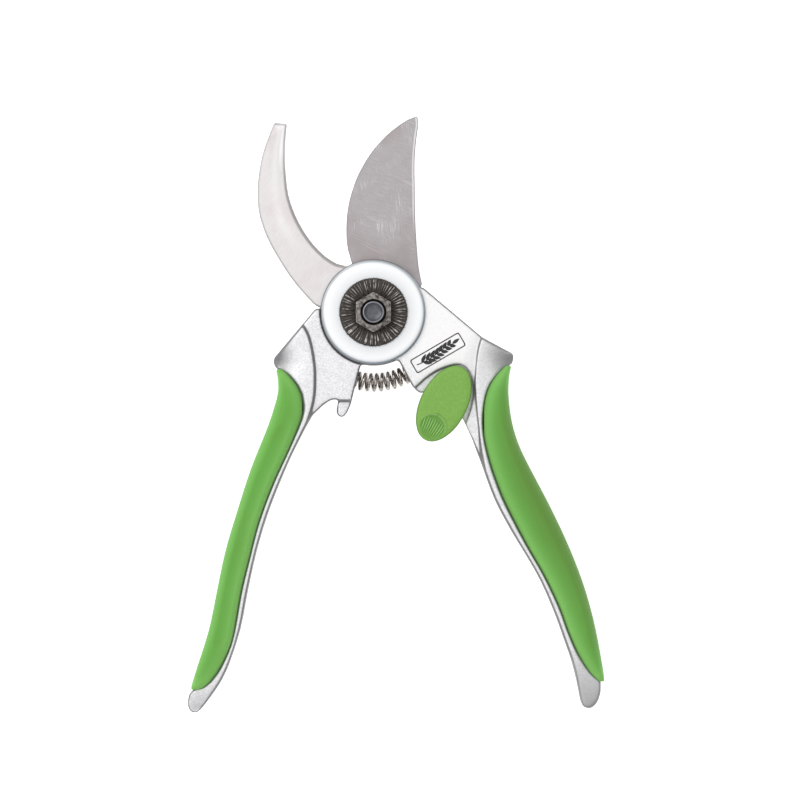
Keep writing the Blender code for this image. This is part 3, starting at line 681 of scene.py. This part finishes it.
def black_ink():
    """Printed black ink, slightly worn."""
    look = Finish("black_ink")
    wear = look.noise(look.place(), 2.2, 3.0)
    look.set({
        "Base Color": look.mix((0.004, 0.004, 0.005), (0.03, 0.03, 0.032), wear),
        "Roughness": 0.42 + wear * 0.2})
    return look


def make_looks():
    """Every material, by its name."""
    return {
        "painted_aluminium": painted_aluminium(),
        "green_rubber": green_rubber(),
        "green_plastic": green_plastic(),
        "blade_steel": ground_steel("blade_steel", (0.445, 0.42, 0.428), turn=22, grain=1.1, scratches=0.9,
                                    metallic=1.0, tint=0.8),
        "counter_steel": ground_steel("counter_steel", (0.765, 0.73, 0.725), turn=-58, grain=0.5,
                                      scratches=0.2, metallic=0.75, tint=0.45),
        "dark_steel": dark_steel(),
        "plated_steel": plated_steel(),
        "spring_wire": spring_wire(),
        "satin_aluminium": satin_aluminium(),
        "bronze": bronze(),
        "black_ink": black_ink()}


# ---------------------------------------------------------------- handles and blades

def cast_handle(node, body, looks):
    """A cast handle: rounded edges, crisper ones beside the lock, and corners that fall away."""
    piece = recast(node, HANDLE_VOXEL, HANDLE_SMOOTHING)
    crisp = recast(node, HANDLE_VOXEL, CRISP_SMOOTHING)
    points = corners(piece.data)
    crisp_x, crisp_y, half_width, half_length = CRISP
    off = np.hypot((points[:, 0] - crisp_x) / half_width, (points[:, 1] - crisp_y) / half_length)
    share = smoothstep(2.0 - off)
    points += (corners(crisp.data) - points) * share[:, None]
    bpy.data.objects.remove(crisp)
    points[:, :2] += directions(piece.data)[:, :2] * (HANDLE_SWELL * (1 - share))[:, None]
    low, high = box_of(node)
    points = np.clip(points, low, high)
    middle = (low[2] + high[2]) / 2
    # Painted shade where the shoulders and butts fall away, by the last number of each.
    painted_falloff_shade = np.zeros(len(points))
    for x, y, reach, drop, grey in SHOULDERS + BUTTS:
        near = np.clip(1 - away(points, x, y) / reach, 0, 1)
        points[:, 2] = middle + (points[:, 2] - middle) * (1 - drop * near ** 2)
        painted_falloff_shade = np.maximum(painted_falloff_shade, near ** 0.7 * grey)
    move(piece.data, points)
    mark(piece.data, "painted_falloff_shade", painted_falloff_shade)
    # Where the right head carries its pool of painted light.
    mark(piece.data, "rubbed_and_painted_light", smoothstep(1.5 - away(points, LIT_PATCH[0], LIT_PATCH[1]) / LIT_PATCH[2]))
    # Steepness, which the paint turns into painted shade; less of it beside the lock.
    mark(piece.data, "slope", (1 - np.abs(directions(piece.data)[:, 2])) * (1 - 0.68 * share))
    return finish_piece(piece, looks["painted_aluminium"], body, node)


def moulded_grip(node, body, looks):
    """A soft grip, pressed against its handle, with painted light beside the seam and painted shade on the
    right grip's outer side.
    """
    piece = recast(node, GRIP_VOXEL, GRIP_SMOOTHING)
    starts, ends, _ = outline(node.replace("grip", "handle"))
    inward = distance_to(corners(piece.data), starts, ends)
    swell = GRIP_SWELL + GRIP_PRESS * bell(inward, 0.0, PRESS_WIDTH)
    points = corners(piece.data) + directions(piece.data) * swell[:, None]
    move(piece.data, np.clip(points, *box_of(node)))
    mark_slope(piece.data)
    # Painted light beside the seam, and painted shade on the right grip's outer side.
    mark(piece.data, "inner", bell(inward, LIGHT_AT, LIGHT_WIDTH))
    mark(piece.data, "worn_and_painted_light", smoothstep((inward - SHADE_FROM) / SHADE_WIDTH) * (body == "counter_side"))
    return finish_piece(piece, looks["green_rubber"], body, node)


def uncovered(starts, ends):
    """Which edges of a blade's outline the cover disc doesn't hide."""
    return away((starts + ends) / 2) > COVERED_RADIUS


def cutting_blade(looks):
    """The cutting blade, ground from behind along its convex edge and eased along its spine."""
    piece = recast("cutting_blade", BLADE_VOXEL, BLADE_SMOOTHING)
    points = corners(piece.data)
    back, front = points[:, 2].min(), points[:, 2].max()
    starts, ends, out = outline("cutting_blade")
    shown = uncovered(starts, ends)
    cutting, spine = shown & (out[:, 0] < 0.0), shown & (out[:, 0] > 0.5)
    near_edge = np.clip(1 - distance_to(points, starts[cutting], ends[cutting]) / GRIND_WIDTH, 0, 1)
    floor = back + (front - back - GRIND_LEAVES) * near_edge
    points[:, 2] = front - (front - points[:, 2]) * (front - floor) / (front - back)
    inward = distance_to(points, starts[spine], ends[spine])
    upper = points[:, 2] > (front + back) / 2
    points[:, 2] -= upper * np.clip(1 - inward / SPINE_WIDTH, 0, 1) * SPINE_DEPTH
    move(piece.data, points)
    upward = smoothstep((points[:, 1] - 24) / 12)
    # Painted highlight along the spine.
    mark(piece.data, "painted_highlight", bell(inward, SPINE_WIDTH * 0.6, GLINT_WIDTH) * upward * 0.8)
    # Painted shade along the other edges and beside the spine.
    other = shown & ~spine
    line = np.maximum(1 - distance_to(points, starts[other], ends[other]) / RIM_WIDTH, 1 - inward / 0.3)
    mark(piece.data, "rim", np.clip(line, 0, 1))
    stain = np.exp(-np.abs(away(points) - STAIN_RADIUS) / STAIN_WIDTH)
    mark(piece.data, "stain", stain * smoothstep((points[:, 0] - 2) / 8))
    return finish_piece(piece, looks["blade_steel"], "cutting_side", "cutting_blade")


def counter_blade(looks):
    """The hooked blade, with a chamfer and a shallow lengthwise facet along its hollow side."""
    piece = recast("counter_blade", BLADE_VOXEL, BLADE_SMOOTHING)
    points = corners(piece.data)
    back, front = points[:, 2].min(), points[:, 2].max()
    starts, ends, out = outline("counter_blade")
    shown = uncovered(starts, ends)
    hollow = shown & (out[:, 0] > 0.1) & (ends[:, 1] > 10)
    outer = shown & ~hollow
    edge = distance_to(points, starts[hollow], ends[hollow])
    toward_tip = smoothstep((points[:, 1] - 25) / 25)
    chamfer = np.clip(1 - edge / HOOK_EDGE_WIDTH, 0, 1) * HOOK_EDGE_DEPTH
    facet = np.clip(1 - edge / HOOK_FACET_WIDTH, 0, 1) * HOOK_FACET_DEPTH * toward_tip
    raised = np.clip((points[:, 2] - back) / (front - back), 0, 1)
    points[:, 2] -= np.maximum(chamfer, facet) * raised
    move(piece.data, points)
    far_side = distance_to(points, starts[outer], ends[outer])
    share = edge / np.maximum(edge + far_side, 0.01)
    # Painted highlights: a band along the hook and a stripe toward its tip.
    band = bell(share, 0.42, 0.15) * smoothstep((points[:, 1] - 18) / 12) * 0.3
    tip = smoothstep((0.36 - share) / 0.2) * smoothstep((points[:, 1] - 44) / 10) * 0.8
    mark(piece.data, "painted_highlight", np.maximum(band, tip))
    # Painted shade along the edges, wider on the hollow side.
    line = np.maximum(1 - far_side / RIM_WIDTH, (1 - edge / HOOK_EDGE_WIDTH) * (1 - 0.35 * toward_tip))
    mark(piece.data, "rim", np.clip(line, 0, 1) * 0.8)
    return finish_piece(piece, looks["counter_steel"], "counter_side", "counter_blade")


# ---------------------------------------------------------------- the pivot

def cover_disc(looks):
    """A pale disc with a broad flat face and a rolled lip, whose painted shade is a little darker on its
    lower right.
    """
    back, front, radius = levels("cover_disc")
    foot = back + DISC_SIDE
    roll = [(radius - DISC_LIP * (1 - sin(a)), foot + (front - foot) * cos(a))
            for a in np.radians(np.arange(0, 91, 7.5))]
    profile = [(NUT_HOLE, back), (NUT_HOLE, front - 0.02)] + roll + [(radius - 0.15, back)]
    piece = turned("cover_disc_finished", profile, 160)
    points = corners(piece.data)
    # Painted shade on the lip, darker away from the light at the upper left.
    toward = radians(130)
    lit = (points[:, 0] * cos(toward) + points[:, 1] * sin(toward)) / radius
    steep = 1 - np.abs(directions(piece.data)[:, 2])
    mark(piece.data, "lip", smoothstep((steep - 0.012) / 0.25) * (0.81 - 0.24 * lit))
    return finish_piece(piece, looks["satin_aluminium"], "counter_side", "cover_disc", crease=40)


def ribs_tree():
    """Tapering ribs that fan out from a centre, with slightly uneven widths."""
    tree = Builder("ribs", Count=RIBS, Centre=(0.0, 0.0, 0.0), Start=0.0, Step=2 * pi / RIBS,
                   Inner=RIB_INNER * MM, Outer=RIB_OUTER * MM,
                   Width=RIB_WIDTH * MM, Height=RIB_HEIGHT * MM, Uneven=0.8)
    index = tree.node("GeometryNodeInputIndex")
    sway = tree.node("FunctionNodeRandomValue", {"data_type": "FLOAT"}, {"Seed": 11}, output=1)
    angle = tree.input("Start") + (index + (sway - 0.5) * tree.input("Uneven")) * tree.input("Step")
    middle = (tree.input("Inner") + tree.input("Outer")) * 0.5
    length = tree.input("Outer") - tree.input("Inner")
    reach = tree.node("ShaderNodeCombineXYZ", {}, {
        "X": middle * angle.math("COSINE", angle), "Y": middle * angle.math("SINE", angle)})
    place = tree.node("ShaderNodeVectorMath", {"operation": "ADD"}, {0: reach, 1: tree.input("Centre")})
    spots = tree.node("GeometryNodePoints", {}, {"Count": tree.input("Count"), "Position": place})
    half = tree.node("ShaderNodeCombineXYZ", {}, {"X": length * 0.5})
    other = tree.node("ShaderNodeCombineXYZ", {}, {"X": length * -0.5})
    spine = tree.node("GeometryNodeCurvePrimitiveLine", {}, {"Start": other, "End": half})
    spine = tree.node("GeometryNodeResampleCurve", {}, {"Curve": spine, "Count": 9})
    share = tree.node("GeometryNodeSplineParameter", output="Factor")
    swell = (share * (1 - share) * 4.0) ** 0.45
    taper = (0.45 + share * 0.55) * swell.most(0.05)
    section = tree.node("GeometryNodeCurvePrimitiveCircle", {"mode": "RADIUS"},
                        {"Resolution": 8, "Radius": 0.5})
    rib = tree.node("GeometryNodeCurveToMesh", {}, {
        "Curve": spine, "Profile Curve": section, "Scale": taper, "Fill Caps": True})
    wide = tree.node("ShaderNodeCombineXYZ", {}, {
        "X": 1.0, "Y": tree.input("Width"), "Z": tree.input("Height") * 2.0})
    rib = tree.node("GeometryNodeTransform", {}, {"Geometry": rib, "Scale": wide})
    turn = tree.node("ShaderNodeCombineXYZ", {}, {"Z": angle})
    spread = tree.node("FunctionNodeRandomValue", {"data_type": "FLOAT"}, {"Seed": 5}, output=1)
    size = 1 + (spread - 0.5) * tree.input("Uneven") * 2.0
    size = tree.node("ShaderNodeCombineXYZ", {}, {"X": 1.0, "Y": size, "Z": 1.0})
    placed = tree.node("GeometryNodeInstanceOnPoints", {}, {
        "Points": spots, "Instance": rib, "Rotation": turn, "Scale": size})
    tree.end(placed)
    return tree


def toothed_washer(looks, ribs):
    """A dark dished washer and the ribs pressed into its face."""
    back, front, radius = levels("toothed_washer")
    floor = front - RIB_HEIGHT
    profile = [(NUT_HOLE, back), (NUT_HOLE, floor - 0.1), (RIB_INNER, floor - 0.2),
               (RIB_OUTER - 0.35, floor), (radius - 0.12, floor - 0.1), (radius - 0.12, back)]
    plate = turned("toothed_washer_plate", rounded(profile, 0.1, 3))
    mark(plate.data, "high", smoothstep((away(corners(plate.data)) - radius + 0.5) / 0.5) * 0.2)
    finish_piece(plate, looks["dark_steel"], "counter_side", "toothed_washer", crease=50)
    teeth = ribs.build("toothed_washer_ribs", looks["dark_steel"], Centre=(0.0, 0.0, floor * MM))
    heights = corners(teeth.data)[:, 2]
    # The ribs' tops paler: partly wear, partly a painted highlight.
    mark(teeth.data, "high", (heights - floor) / (heights.max() - floor))
    return finish_piece(teeth, looks["dark_steel"], "counter_side")


def pivot_nut(looks):
    """A hexagon nut with a cone-chamfered face, a rim paler from wear and a painted highlight, and a
    countersunk hole.
    """
    back, front, _ = levels("pivot_nut")
    shape = corners(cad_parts["pivot_nut"].data)
    reach = away(shape)
    radius = reach.max()
    start = atan2(shape[reach.argmax(), 1], shape[reach.argmax(), 0])
    flat = radius * cos(pi / 6)
    angles = [start + 2 * pi * i / NUT_POINTS for i in range(NUT_POINTS)]
    hexagon = [min(flat / cos((a - start + 2 * pi) % (pi / 3) - pi / 6), radius - 0.12) for a in angles]

    def cone(r):
        """Level of the chamfered face at this radius."""
        return front - max(0.0, r - NUT_CHAMFER) * NUT_FALL

    def circle(r, level):
        return [(r * cos(a), r * sin(a), level) for a in angles]

    def side(inset, drop=0.0, level=None):
        """The hexagon this far inside, under the chamfered face or at a level."""
        radii = [r - inset for r in hexagon]
        return [(r * cos(a), r * sin(a), cone(r) - drop if level is None else level)
                for r, a in zip(radii, angles)]

    face = (NUT_HOLE + 0.5, NUT_CHAMFER - 0.25, NUT_CHAMFER, NUT_CHAMFER + 0.12)
    rings = [circle(NUT_HOLE, back), circle(NUT_HOLE, front - 0.5)]
    rings += [circle(r, cone(r)) for r in face]
    rings += [side(0.4), side(0.3), side(0.1), side(0.0, drop=0.07), side(0.0, drop=0.3)]
    rings += [side(0.0, level=back + 0.2), side(0.12, level=back)]
    piece = skin("pivot_nut_finished", rings, closed=True)
    points = corners(piece.data)
    # A paler rim and sides: partly wear, partly a painted highlight.
    rim = bell(away(points), NUT_CHAMFER, 0.2) * 0.8
    rubbed_and_painted_light = np.repeat([0.0, 0.3] + [0.75] * 5 + [0.9, 1.0, 1.0, 0.2, 0.0, 0.0], NUT_POINTS)
    mark(piece.data, "high", np.where(points[:, 2] > back + 0.5, np.maximum(rim, rubbed_and_painted_light), 0))
    return finish_piece(piece, looks["dark_steel"], "counter_side", "pivot_nut", crease=35)


def pivot_bolt(looks):
    """The bolt: a low round head behind, its shank, and a dished end in front."""
    back, front, radius = levels("pivot_bolt")
    _, nut_top, _ = levels("pivot_nut")
    head = [(0.0, back), (radius - 0.35, back), (radius, back + 0.35), (radius, BOLT_HEAD),
            (BOLT_SHANK, BOLT_HEAD)]
    end = [(BOLT_SHANK, nut_top), (BOLT_SHANK, front - 0.15), (BOLT_SHANK - 0.2, front),
           (BOLT_DISH + 0.1, front), (BOLT_DISH - 0.4, front - DISH_DEPTH)]
    dish = [(BOLT_DISH * share, front - DISH_DEPTH - 0.25 * (1 - share * share))
            for share in (0.6, 0.35, 0.15, 0.0)]
    piece = turned("pivot_bolt_finished", rounded(head, 0.25, 4) + rounded(end, 0.12, 3) + dish)
    points = corners(piece.data)
    # A paler edge round the end: partly wear, partly a painted highlight.
    mark(piece.data, "high", bell(away(points), BOLT_SHANK - 0.25, 0.3) * (points[:, 2] > front - 0.35))
    return finish_piece(piece, looks["plated_steel"], "counter_side", "pivot_bolt", crease=40)


def coil_tree(level):
    """A wire tube wound round an arc about the pivot, with a straight stretch at each end."""
    tree = Builder("bent_coil", Turns=COIL_TURNS, Coil=COIL_RADIUS * MM, Wire=WIRE_RADIUS * MM,
                   Bend=BEND_RADIUS * MM, From=radians(BEND_FROM), To=radians(BEND_TO),
                   Straight=POCKET_LENGTH * MM, Level=level, Points=round(COIL_TURNS * TURN_POINTS))
    index = tree.node("GeometryNodeInputIndex")
    share = index / (tree.input("Points") - 1.0)
    arc = (tree.input("To") - tree.input("From")) * tree.input("Bend")
    along = share * (arc + tree.input("Straight") * 2.0) - tree.input("Straight")
    bent = along.most(0.0).least(arc)
    past = along - bent
    angle = tree.input("From") + bent / tree.input("Bend")
    turn = share * tree.input("Turns") * (2 * pi)
    cosine = angle.math("COSINE", angle)
    sine = angle.math("SINE", angle)
    reach = tree.input("Bend") + tree.input("Coil") * turn.math("COSINE", turn)
    place = tree.node("ShaderNodeCombineXYZ", {}, {
        "X": reach * cosine - past * sine, "Y": reach * sine + past * cosine,
        "Z": tree.input("Level") + tree.input("Coil") * turn.math("SINE", turn)})
    path = tree.node("GeometryNodeCurvePrimitiveLine")
    path = tree.node("GeometryNodeResampleCurve", {}, {"Curve": path, "Count": tree.input("Points")})
    path = tree.node("GeometryNodeSetPosition", {}, {"Geometry": path, "Position": place})
    section = tree.node("GeometryNodeCurvePrimitiveCircle", {"mode": "RADIUS"},
                        {"Resolution": 12, "Radius": tree.input("Wire")})
    tree.end(tree.node("GeometryNodeCurveToMesh", {}, {
        "Curve": path, "Profile Curve": section, "Fill Caps": True}))
    return tree


def return_spring(looks):
    """The coil between the two arms."""
    low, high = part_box("return_spring")
    level = (low[2] + high[2]) / 2
    piece = coil_tree(level).build("return_spring_finished", looks["spring_wire"])
    piece.data.shade_smooth()
    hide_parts("return_spring")
    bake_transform(piece)
    return piece


# ---------------------------------------------------------------- lock and badge

def button_top(px, py, margin, back, top):
    """Level of the button's top at a point this far from its edge: a round shoulder, a flat, the pad."""
    side = min(margin / BUTTON_ROUND, 1.0)
    foot = back + BUTTON_SIDE
    level = foot + (top - THUMB_DEPTH - foot) * (1 - (1 - side) ** 2) ** 0.5
    dx, dy = px - THUMB_X, py - THUMB_Y
    reach = hypot(dx, dy)
    share = 0.25 + 0.75 * max(0.0, cos(atan2(dy, dx) - radians(THUMB_TOWARD)))
    crescent = THUMB_DEPTH * share * bell(reach, THUMB_RADIUS, 0.36)
    dish = THUMB_DEPTH * float(smoothstep((THUMB_RADIUS - reach) / 1.2))
    return level + (crescent - dish) * side


def mark_pad(mesh, back):
    """Stores where the thumb pad gets painted shade and where its crescent gets a painted highlight."""
    points = corners(mesh)
    reach = away(points, THUMB_X, THUMB_Y)
    front = points[:, 2] > back + BUTTON_SIDE
    bearing = np.arctan2(points[:, 1] - THUMB_Y, points[:, 0] - THUMB_X) - radians(THUMB_TOWARD)
    # Painted shade in the pad.
    mark(mesh, "painted_pad_shade", smoothstep((THUMB_RADIUS - 0.1 - reach) / 0.6) * front)
    # Painted highlight on the crescent.
    crescent = bell(reach, THUMB_RADIUS - 0.3, 0.3) * np.clip(np.cos(bearing), 0, 1)
    mark(mesh, "high", crescent * front * 0.6)


def thumb_ribs(looks, ribs, floor):
    """The fine ribs across the thumb pad."""
    toward, step = radians(THUMB_TOWARD), radians(THUMB_STEP)
    centre = (THUMB_X - THUMB_FAN * cos(toward), THUMB_Y - THUMB_FAN * sin(toward), floor - 0.05)
    piece = ribs.build("lock_button_ribs", looks["green_plastic"], Count=THUMB_RIBS,
                       Centre=tuple(part * MM for part in centre),
                       Start=toward - step * (THUMB_RIBS - 1) / 2, Step=step,
                       Inner=(THUMB_FAN - THUMB_RIB_BACK) * MM, Outer=(THUMB_FAN + THUMB_RIB_FRONT) * MM,
                       Width=THUMB_RIB_WIDTH * MM, Height=THUMB_RIB_HEIGHT * MM, Uneven=0.15)
    rise = corners(piece.data)[:, 2] - centre[2]
    # Painted highlight on the ribs' tops.
    mark(piece.data, "high", smoothstep(rise / rise.max() - 0.2))
    return finish_piece(piece, looks["green_plastic"], "lock")


def lock_button(looks, ribs):
    """A flat-topped oval with rounded shoulders and a dished, ribbed thumb pad with a raised crescent."""
    low, high = box_of("lock_button")
    x, y = (low[0] + high[0]) / 2, (low[1] + high[1]) / 2
    back, top = low[2], high[2]
    shape = corners(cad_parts["lock_button"].data)
    lean = radians(BUTTON_LEAN)
    along = (shape[:, 0] - x) * sin(lean) + (shape[:, 1] - y) * cos(lean)
    across = (shape[:, 0] - x) * cos(lean) - (shape[:, 1] - y) * sin(lean)
    long, short = np.abs(along).max(), np.abs(across).max()

    def oval(margin, level=None):
        """The outline this far inside the edge, on the button's top or at a level."""
        ring = []
        for i in range(BUTTON_POINTS):
            turn = 2 * pi * i / BUTTON_POINTS
            u, v = (long - margin) * sin(turn), (short - margin) * cos(turn)
            px, py = x + (u * sin(lean) + v * cos(lean)), y + (u * cos(lean) - v * sin(lean))
            ring.append((px, py, button_top(px, py, margin, back, top) if level is None else level))
        return ring

    rings = [[(x, y, back)], oval(0.8, back), oval(0.25, back + 0.05), oval(0.0, back + 0.3)]
    shoulder = BUTTON_ROUND * (1 - np.cos(np.linspace(0, pi / 2, 12)))
    face = np.linspace(BUTTON_ROUND, short - 0.05, 44)[1:]
    rings += [oval(margin) for margin in (*shoulder, *face)]
    inner = rings[-1]
    for share in (0.94, 0.88, 0.82, 0.76, 0.7, 0.64, 0.58, 0.5, 0.42, 0.34, 0.26, 0.18, 0.1, 0.04):
        shrunk = [(x + (px - x) * share, y + (py - y) * share) for px, py, _ in inner]
        rings.append([(px, py, button_top(px, py, BUTTON_ROUND, back, top)) for px, py in shrunk])
    rings.append([(x, y, button_top(x, y, BUTTON_ROUND, back, top))])
    piece = skin("lock_button_finished", rings)
    mark_slope(piece.data)
    mark_pad(piece.data, back)
    finish_piece(piece, looks["green_plastic"], "lock", "lock_button", crease=60)
    return thumb_ribs(looks, ribs, button_top(THUMB_X, THUMB_Y, BUTTON_ROUND, back, top))


def flat_shapes(name, shapes, back, thickness):
    """Thin solids at one level, each of one outline, or of two equal ones that make a frame."""
    shell = bmesh.new()
    for outlines in shapes:
        lower, upper = [[[shell.verts.new((px * MM, py * MM, level * MM)) for px, py in path]
                         for path in outlines] for level in (back, back + thickness)]
        for below, above in zip(lower, upper):
            band(shell, below, above)
        for faces in (lower, upper):
            if len(faces) == 2:
                band(shell, *faces)
            else:
                shell.faces.new(faces[0])
    bmesh.ops.recalc_face_normals(shell, faces=shell.faces)
    return linked(name, mesh_from(shell, name))


def badge_frame(inset):
    """The badge's rounded outline, this far inside its edge."""
    half_u, half_v = BADGE_LENGTH / 2 - inset, BADGE_WIDTH / 2 - inset
    radius = BADGE_CORNER - inset * 0.5
    path = []
    for cu, cv, start in ((1, 1, 0), (-1, 1, 90), (-1, -1, 180), (1, -1, 270)):
        for step in range(7):
            a = radians(start + 15 * step)
            path.append((cu * (half_u - radius) + radius * cos(a),
                         cv * (half_v - radius) + radius * sin(a)))
    return path


def leaf(u, v, length, width, angle):
    """A pointed leaf that grows from a point at this angle."""
    a = radians(angle)
    half = [(length * i / 10, width / 2 * sin(pi * (i / 10) ** 0.8)) for i in range(11)]
    path = half + [(s, -t) for s, t in half[-2:0:-1]]
    return [(u + s * cos(a) - t * sin(a), v + s * sin(a) + t * cos(a)) for s, t in path]


def badge(looks):
    """A thin rounded frame with a plain sprig of leaves, printed on the right head."""
    lean = radians(BADGE_LEAN)

    def placed(path):
        return [(BADGE_X + u * cos(lean) - v * sin(lean), BADGE_Y + u * sin(lean) + v * cos(lean))
                for u, v in path]

    stem = [(u, 0.3 * sin(u * 0.42)) for u in np.linspace(STEM_FROM, STEM_TO, STEM_POINTS)]
    half = [STEM_WIDTH * (1 - 0.5 * i / (STEM_POINTS - 1)) for i in range(STEM_POINTS)]
    upper = [(u, v + w) for (u, v), w in zip(stem, half)]
    lower = [(u, v - w) for (u, v), w in zip(stem, half)]
    sprig = [upper + lower[::-1]]
    for i, (u, v) in enumerate(stem[3:-1:3]):
        size = 3.1 - 0.14 * i
        sprig += [leaf(u, v + 0.12, size, 1.2, 34), leaf(u + 0.5, v - 0.12, size, 1.2, -34)]
    sprig.append(leaf(stem[-1][0], stem[-1][1], 2.9, 1.1, 6))
    shapes = [(placed(badge_frame(0.0)), placed(badge_frame(BADGE_LINE)))]
    shapes += [(placed(path),) for path in sprig]
    piece = flat_shapes("badge", shapes, BADGE_LEVEL, BADGE_THICKNESS)
    return finish_piece(piece, looks["black_ink"], "counter_side", crease=30)


# ---------------------------------------------------------------- stage

def studio():
    """Pale floor, a soft dome that is brightest overhead and dimmer on the right, and two soft lights."""
    world = bpy.data.worlds.new("studio")
    world.use_nodes = True
    sky = Tree(world.node_tree)
    where = sky.node("ShaderNodeTexCoord", output="Generated")
    up = sky.node("ShaderNodeSeparateXYZ", {}, {"Vector": where}, output="Z")
    right = sky.node("ShaderNodeSeparateXYZ", {}, {"Vector": where}, output="X")
    strength = (0.60 + up.smooth(0.35, 1.0) * 0.36) * (1 - right.smooth(-0.1, 0.9) * 0.33)
    background = world.node_tree.nodes["Background"]
    sky.put(background.inputs["Strength"], strength)
    sky.put(background.inputs["Color"], (0.985, 0.99, 1.0))
    bpy.context.scene.world = world

    shell = bmesh.new()
    bmesh.ops.create_grid(shell, x_segments=1, y_segments=1, size=3.0)
    floor = linked("floor", mesh_from(shell, "floor"))
    floor.location.z = -0.05 * MM
    pale = Finish("floor", Base_Color=(0.93, 0.93, 0.93), Roughness=0.95, Emission_Color=(1.0, 1.0, 1.0),
                  Emission_Strength=0.62)
    floor.data.materials.append(pale.material)

    for name, place, size, power in LIGHTS:
        lamp = bpy.data.lights.new(name, "AREA")
        lamp.size = size
        lamp.energy = power
        light = bpy.data.objects.new(name, lamp)
        light.location = place
        aim = -np.array(place)
        tilt, bearing = atan2(hypot(aim[0], aim[1]), -aim[2]), atan2(aim[1], aim[0]) - pi / 2
        light.rotation_euler = (tilt, 0.0, bearing)
        bpy.context.scene.collection.objects.link(light)


def camera():
    """Straight above the shears, with +Y up."""
    data = bpy.data.cameras.new("camera")
    data.sensor_width = SENSOR_WIDTH
    data.lens = SENSOR_WIDTH * (CAMERA_HEIGHT - VIEW_LEVEL) / VIEW_WIDTH
    data.clip_end = 20.0
    view = bpy.data.objects.new("camera", data)
    view.location = (CAMERA_X * MM, CAMERA_Y * MM, CAMERA_HEIGHT * MM)
    bpy.context.scene.collection.objects.link(view)
    bpy.context.scene.camera = view
    bpy.context.scene.view_settings.view_transform = "Standard"


def dress_plain_nodes(looks):
    """Gives the plain CAD parts their materials."""
    for slot, nodes in PLAIN_NODES.items():
        for node in nodes:
            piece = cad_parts[node]
            if not piece.material_slots:
                piece.data.materials.append(looks[slot].material)
            piece.material_slots[0].material = looks[slot].material


def main():
    """Builds everything."""
    looks = make_looks()
    camera()
    studio()
    ribs = ribs_tree()
    cast_handle("left_handle", "cutting_side", looks)
    cast_handle("right_handle", "counter_side", looks)
    moulded_grip("left_grip", "cutting_side", looks)
    moulded_grip("right_grip", "counter_side", looks)
    cutting_blade(looks)
    counter_blade(looks)
    cover_disc(looks)
    toothed_washer(looks, ribs)
    pivot_nut(looks)
    pivot_bolt(looks)
    return_spring(looks)
    lock_button(looks, ribs)
    badge(looks)
    dress_plain_nodes(looks)


main()
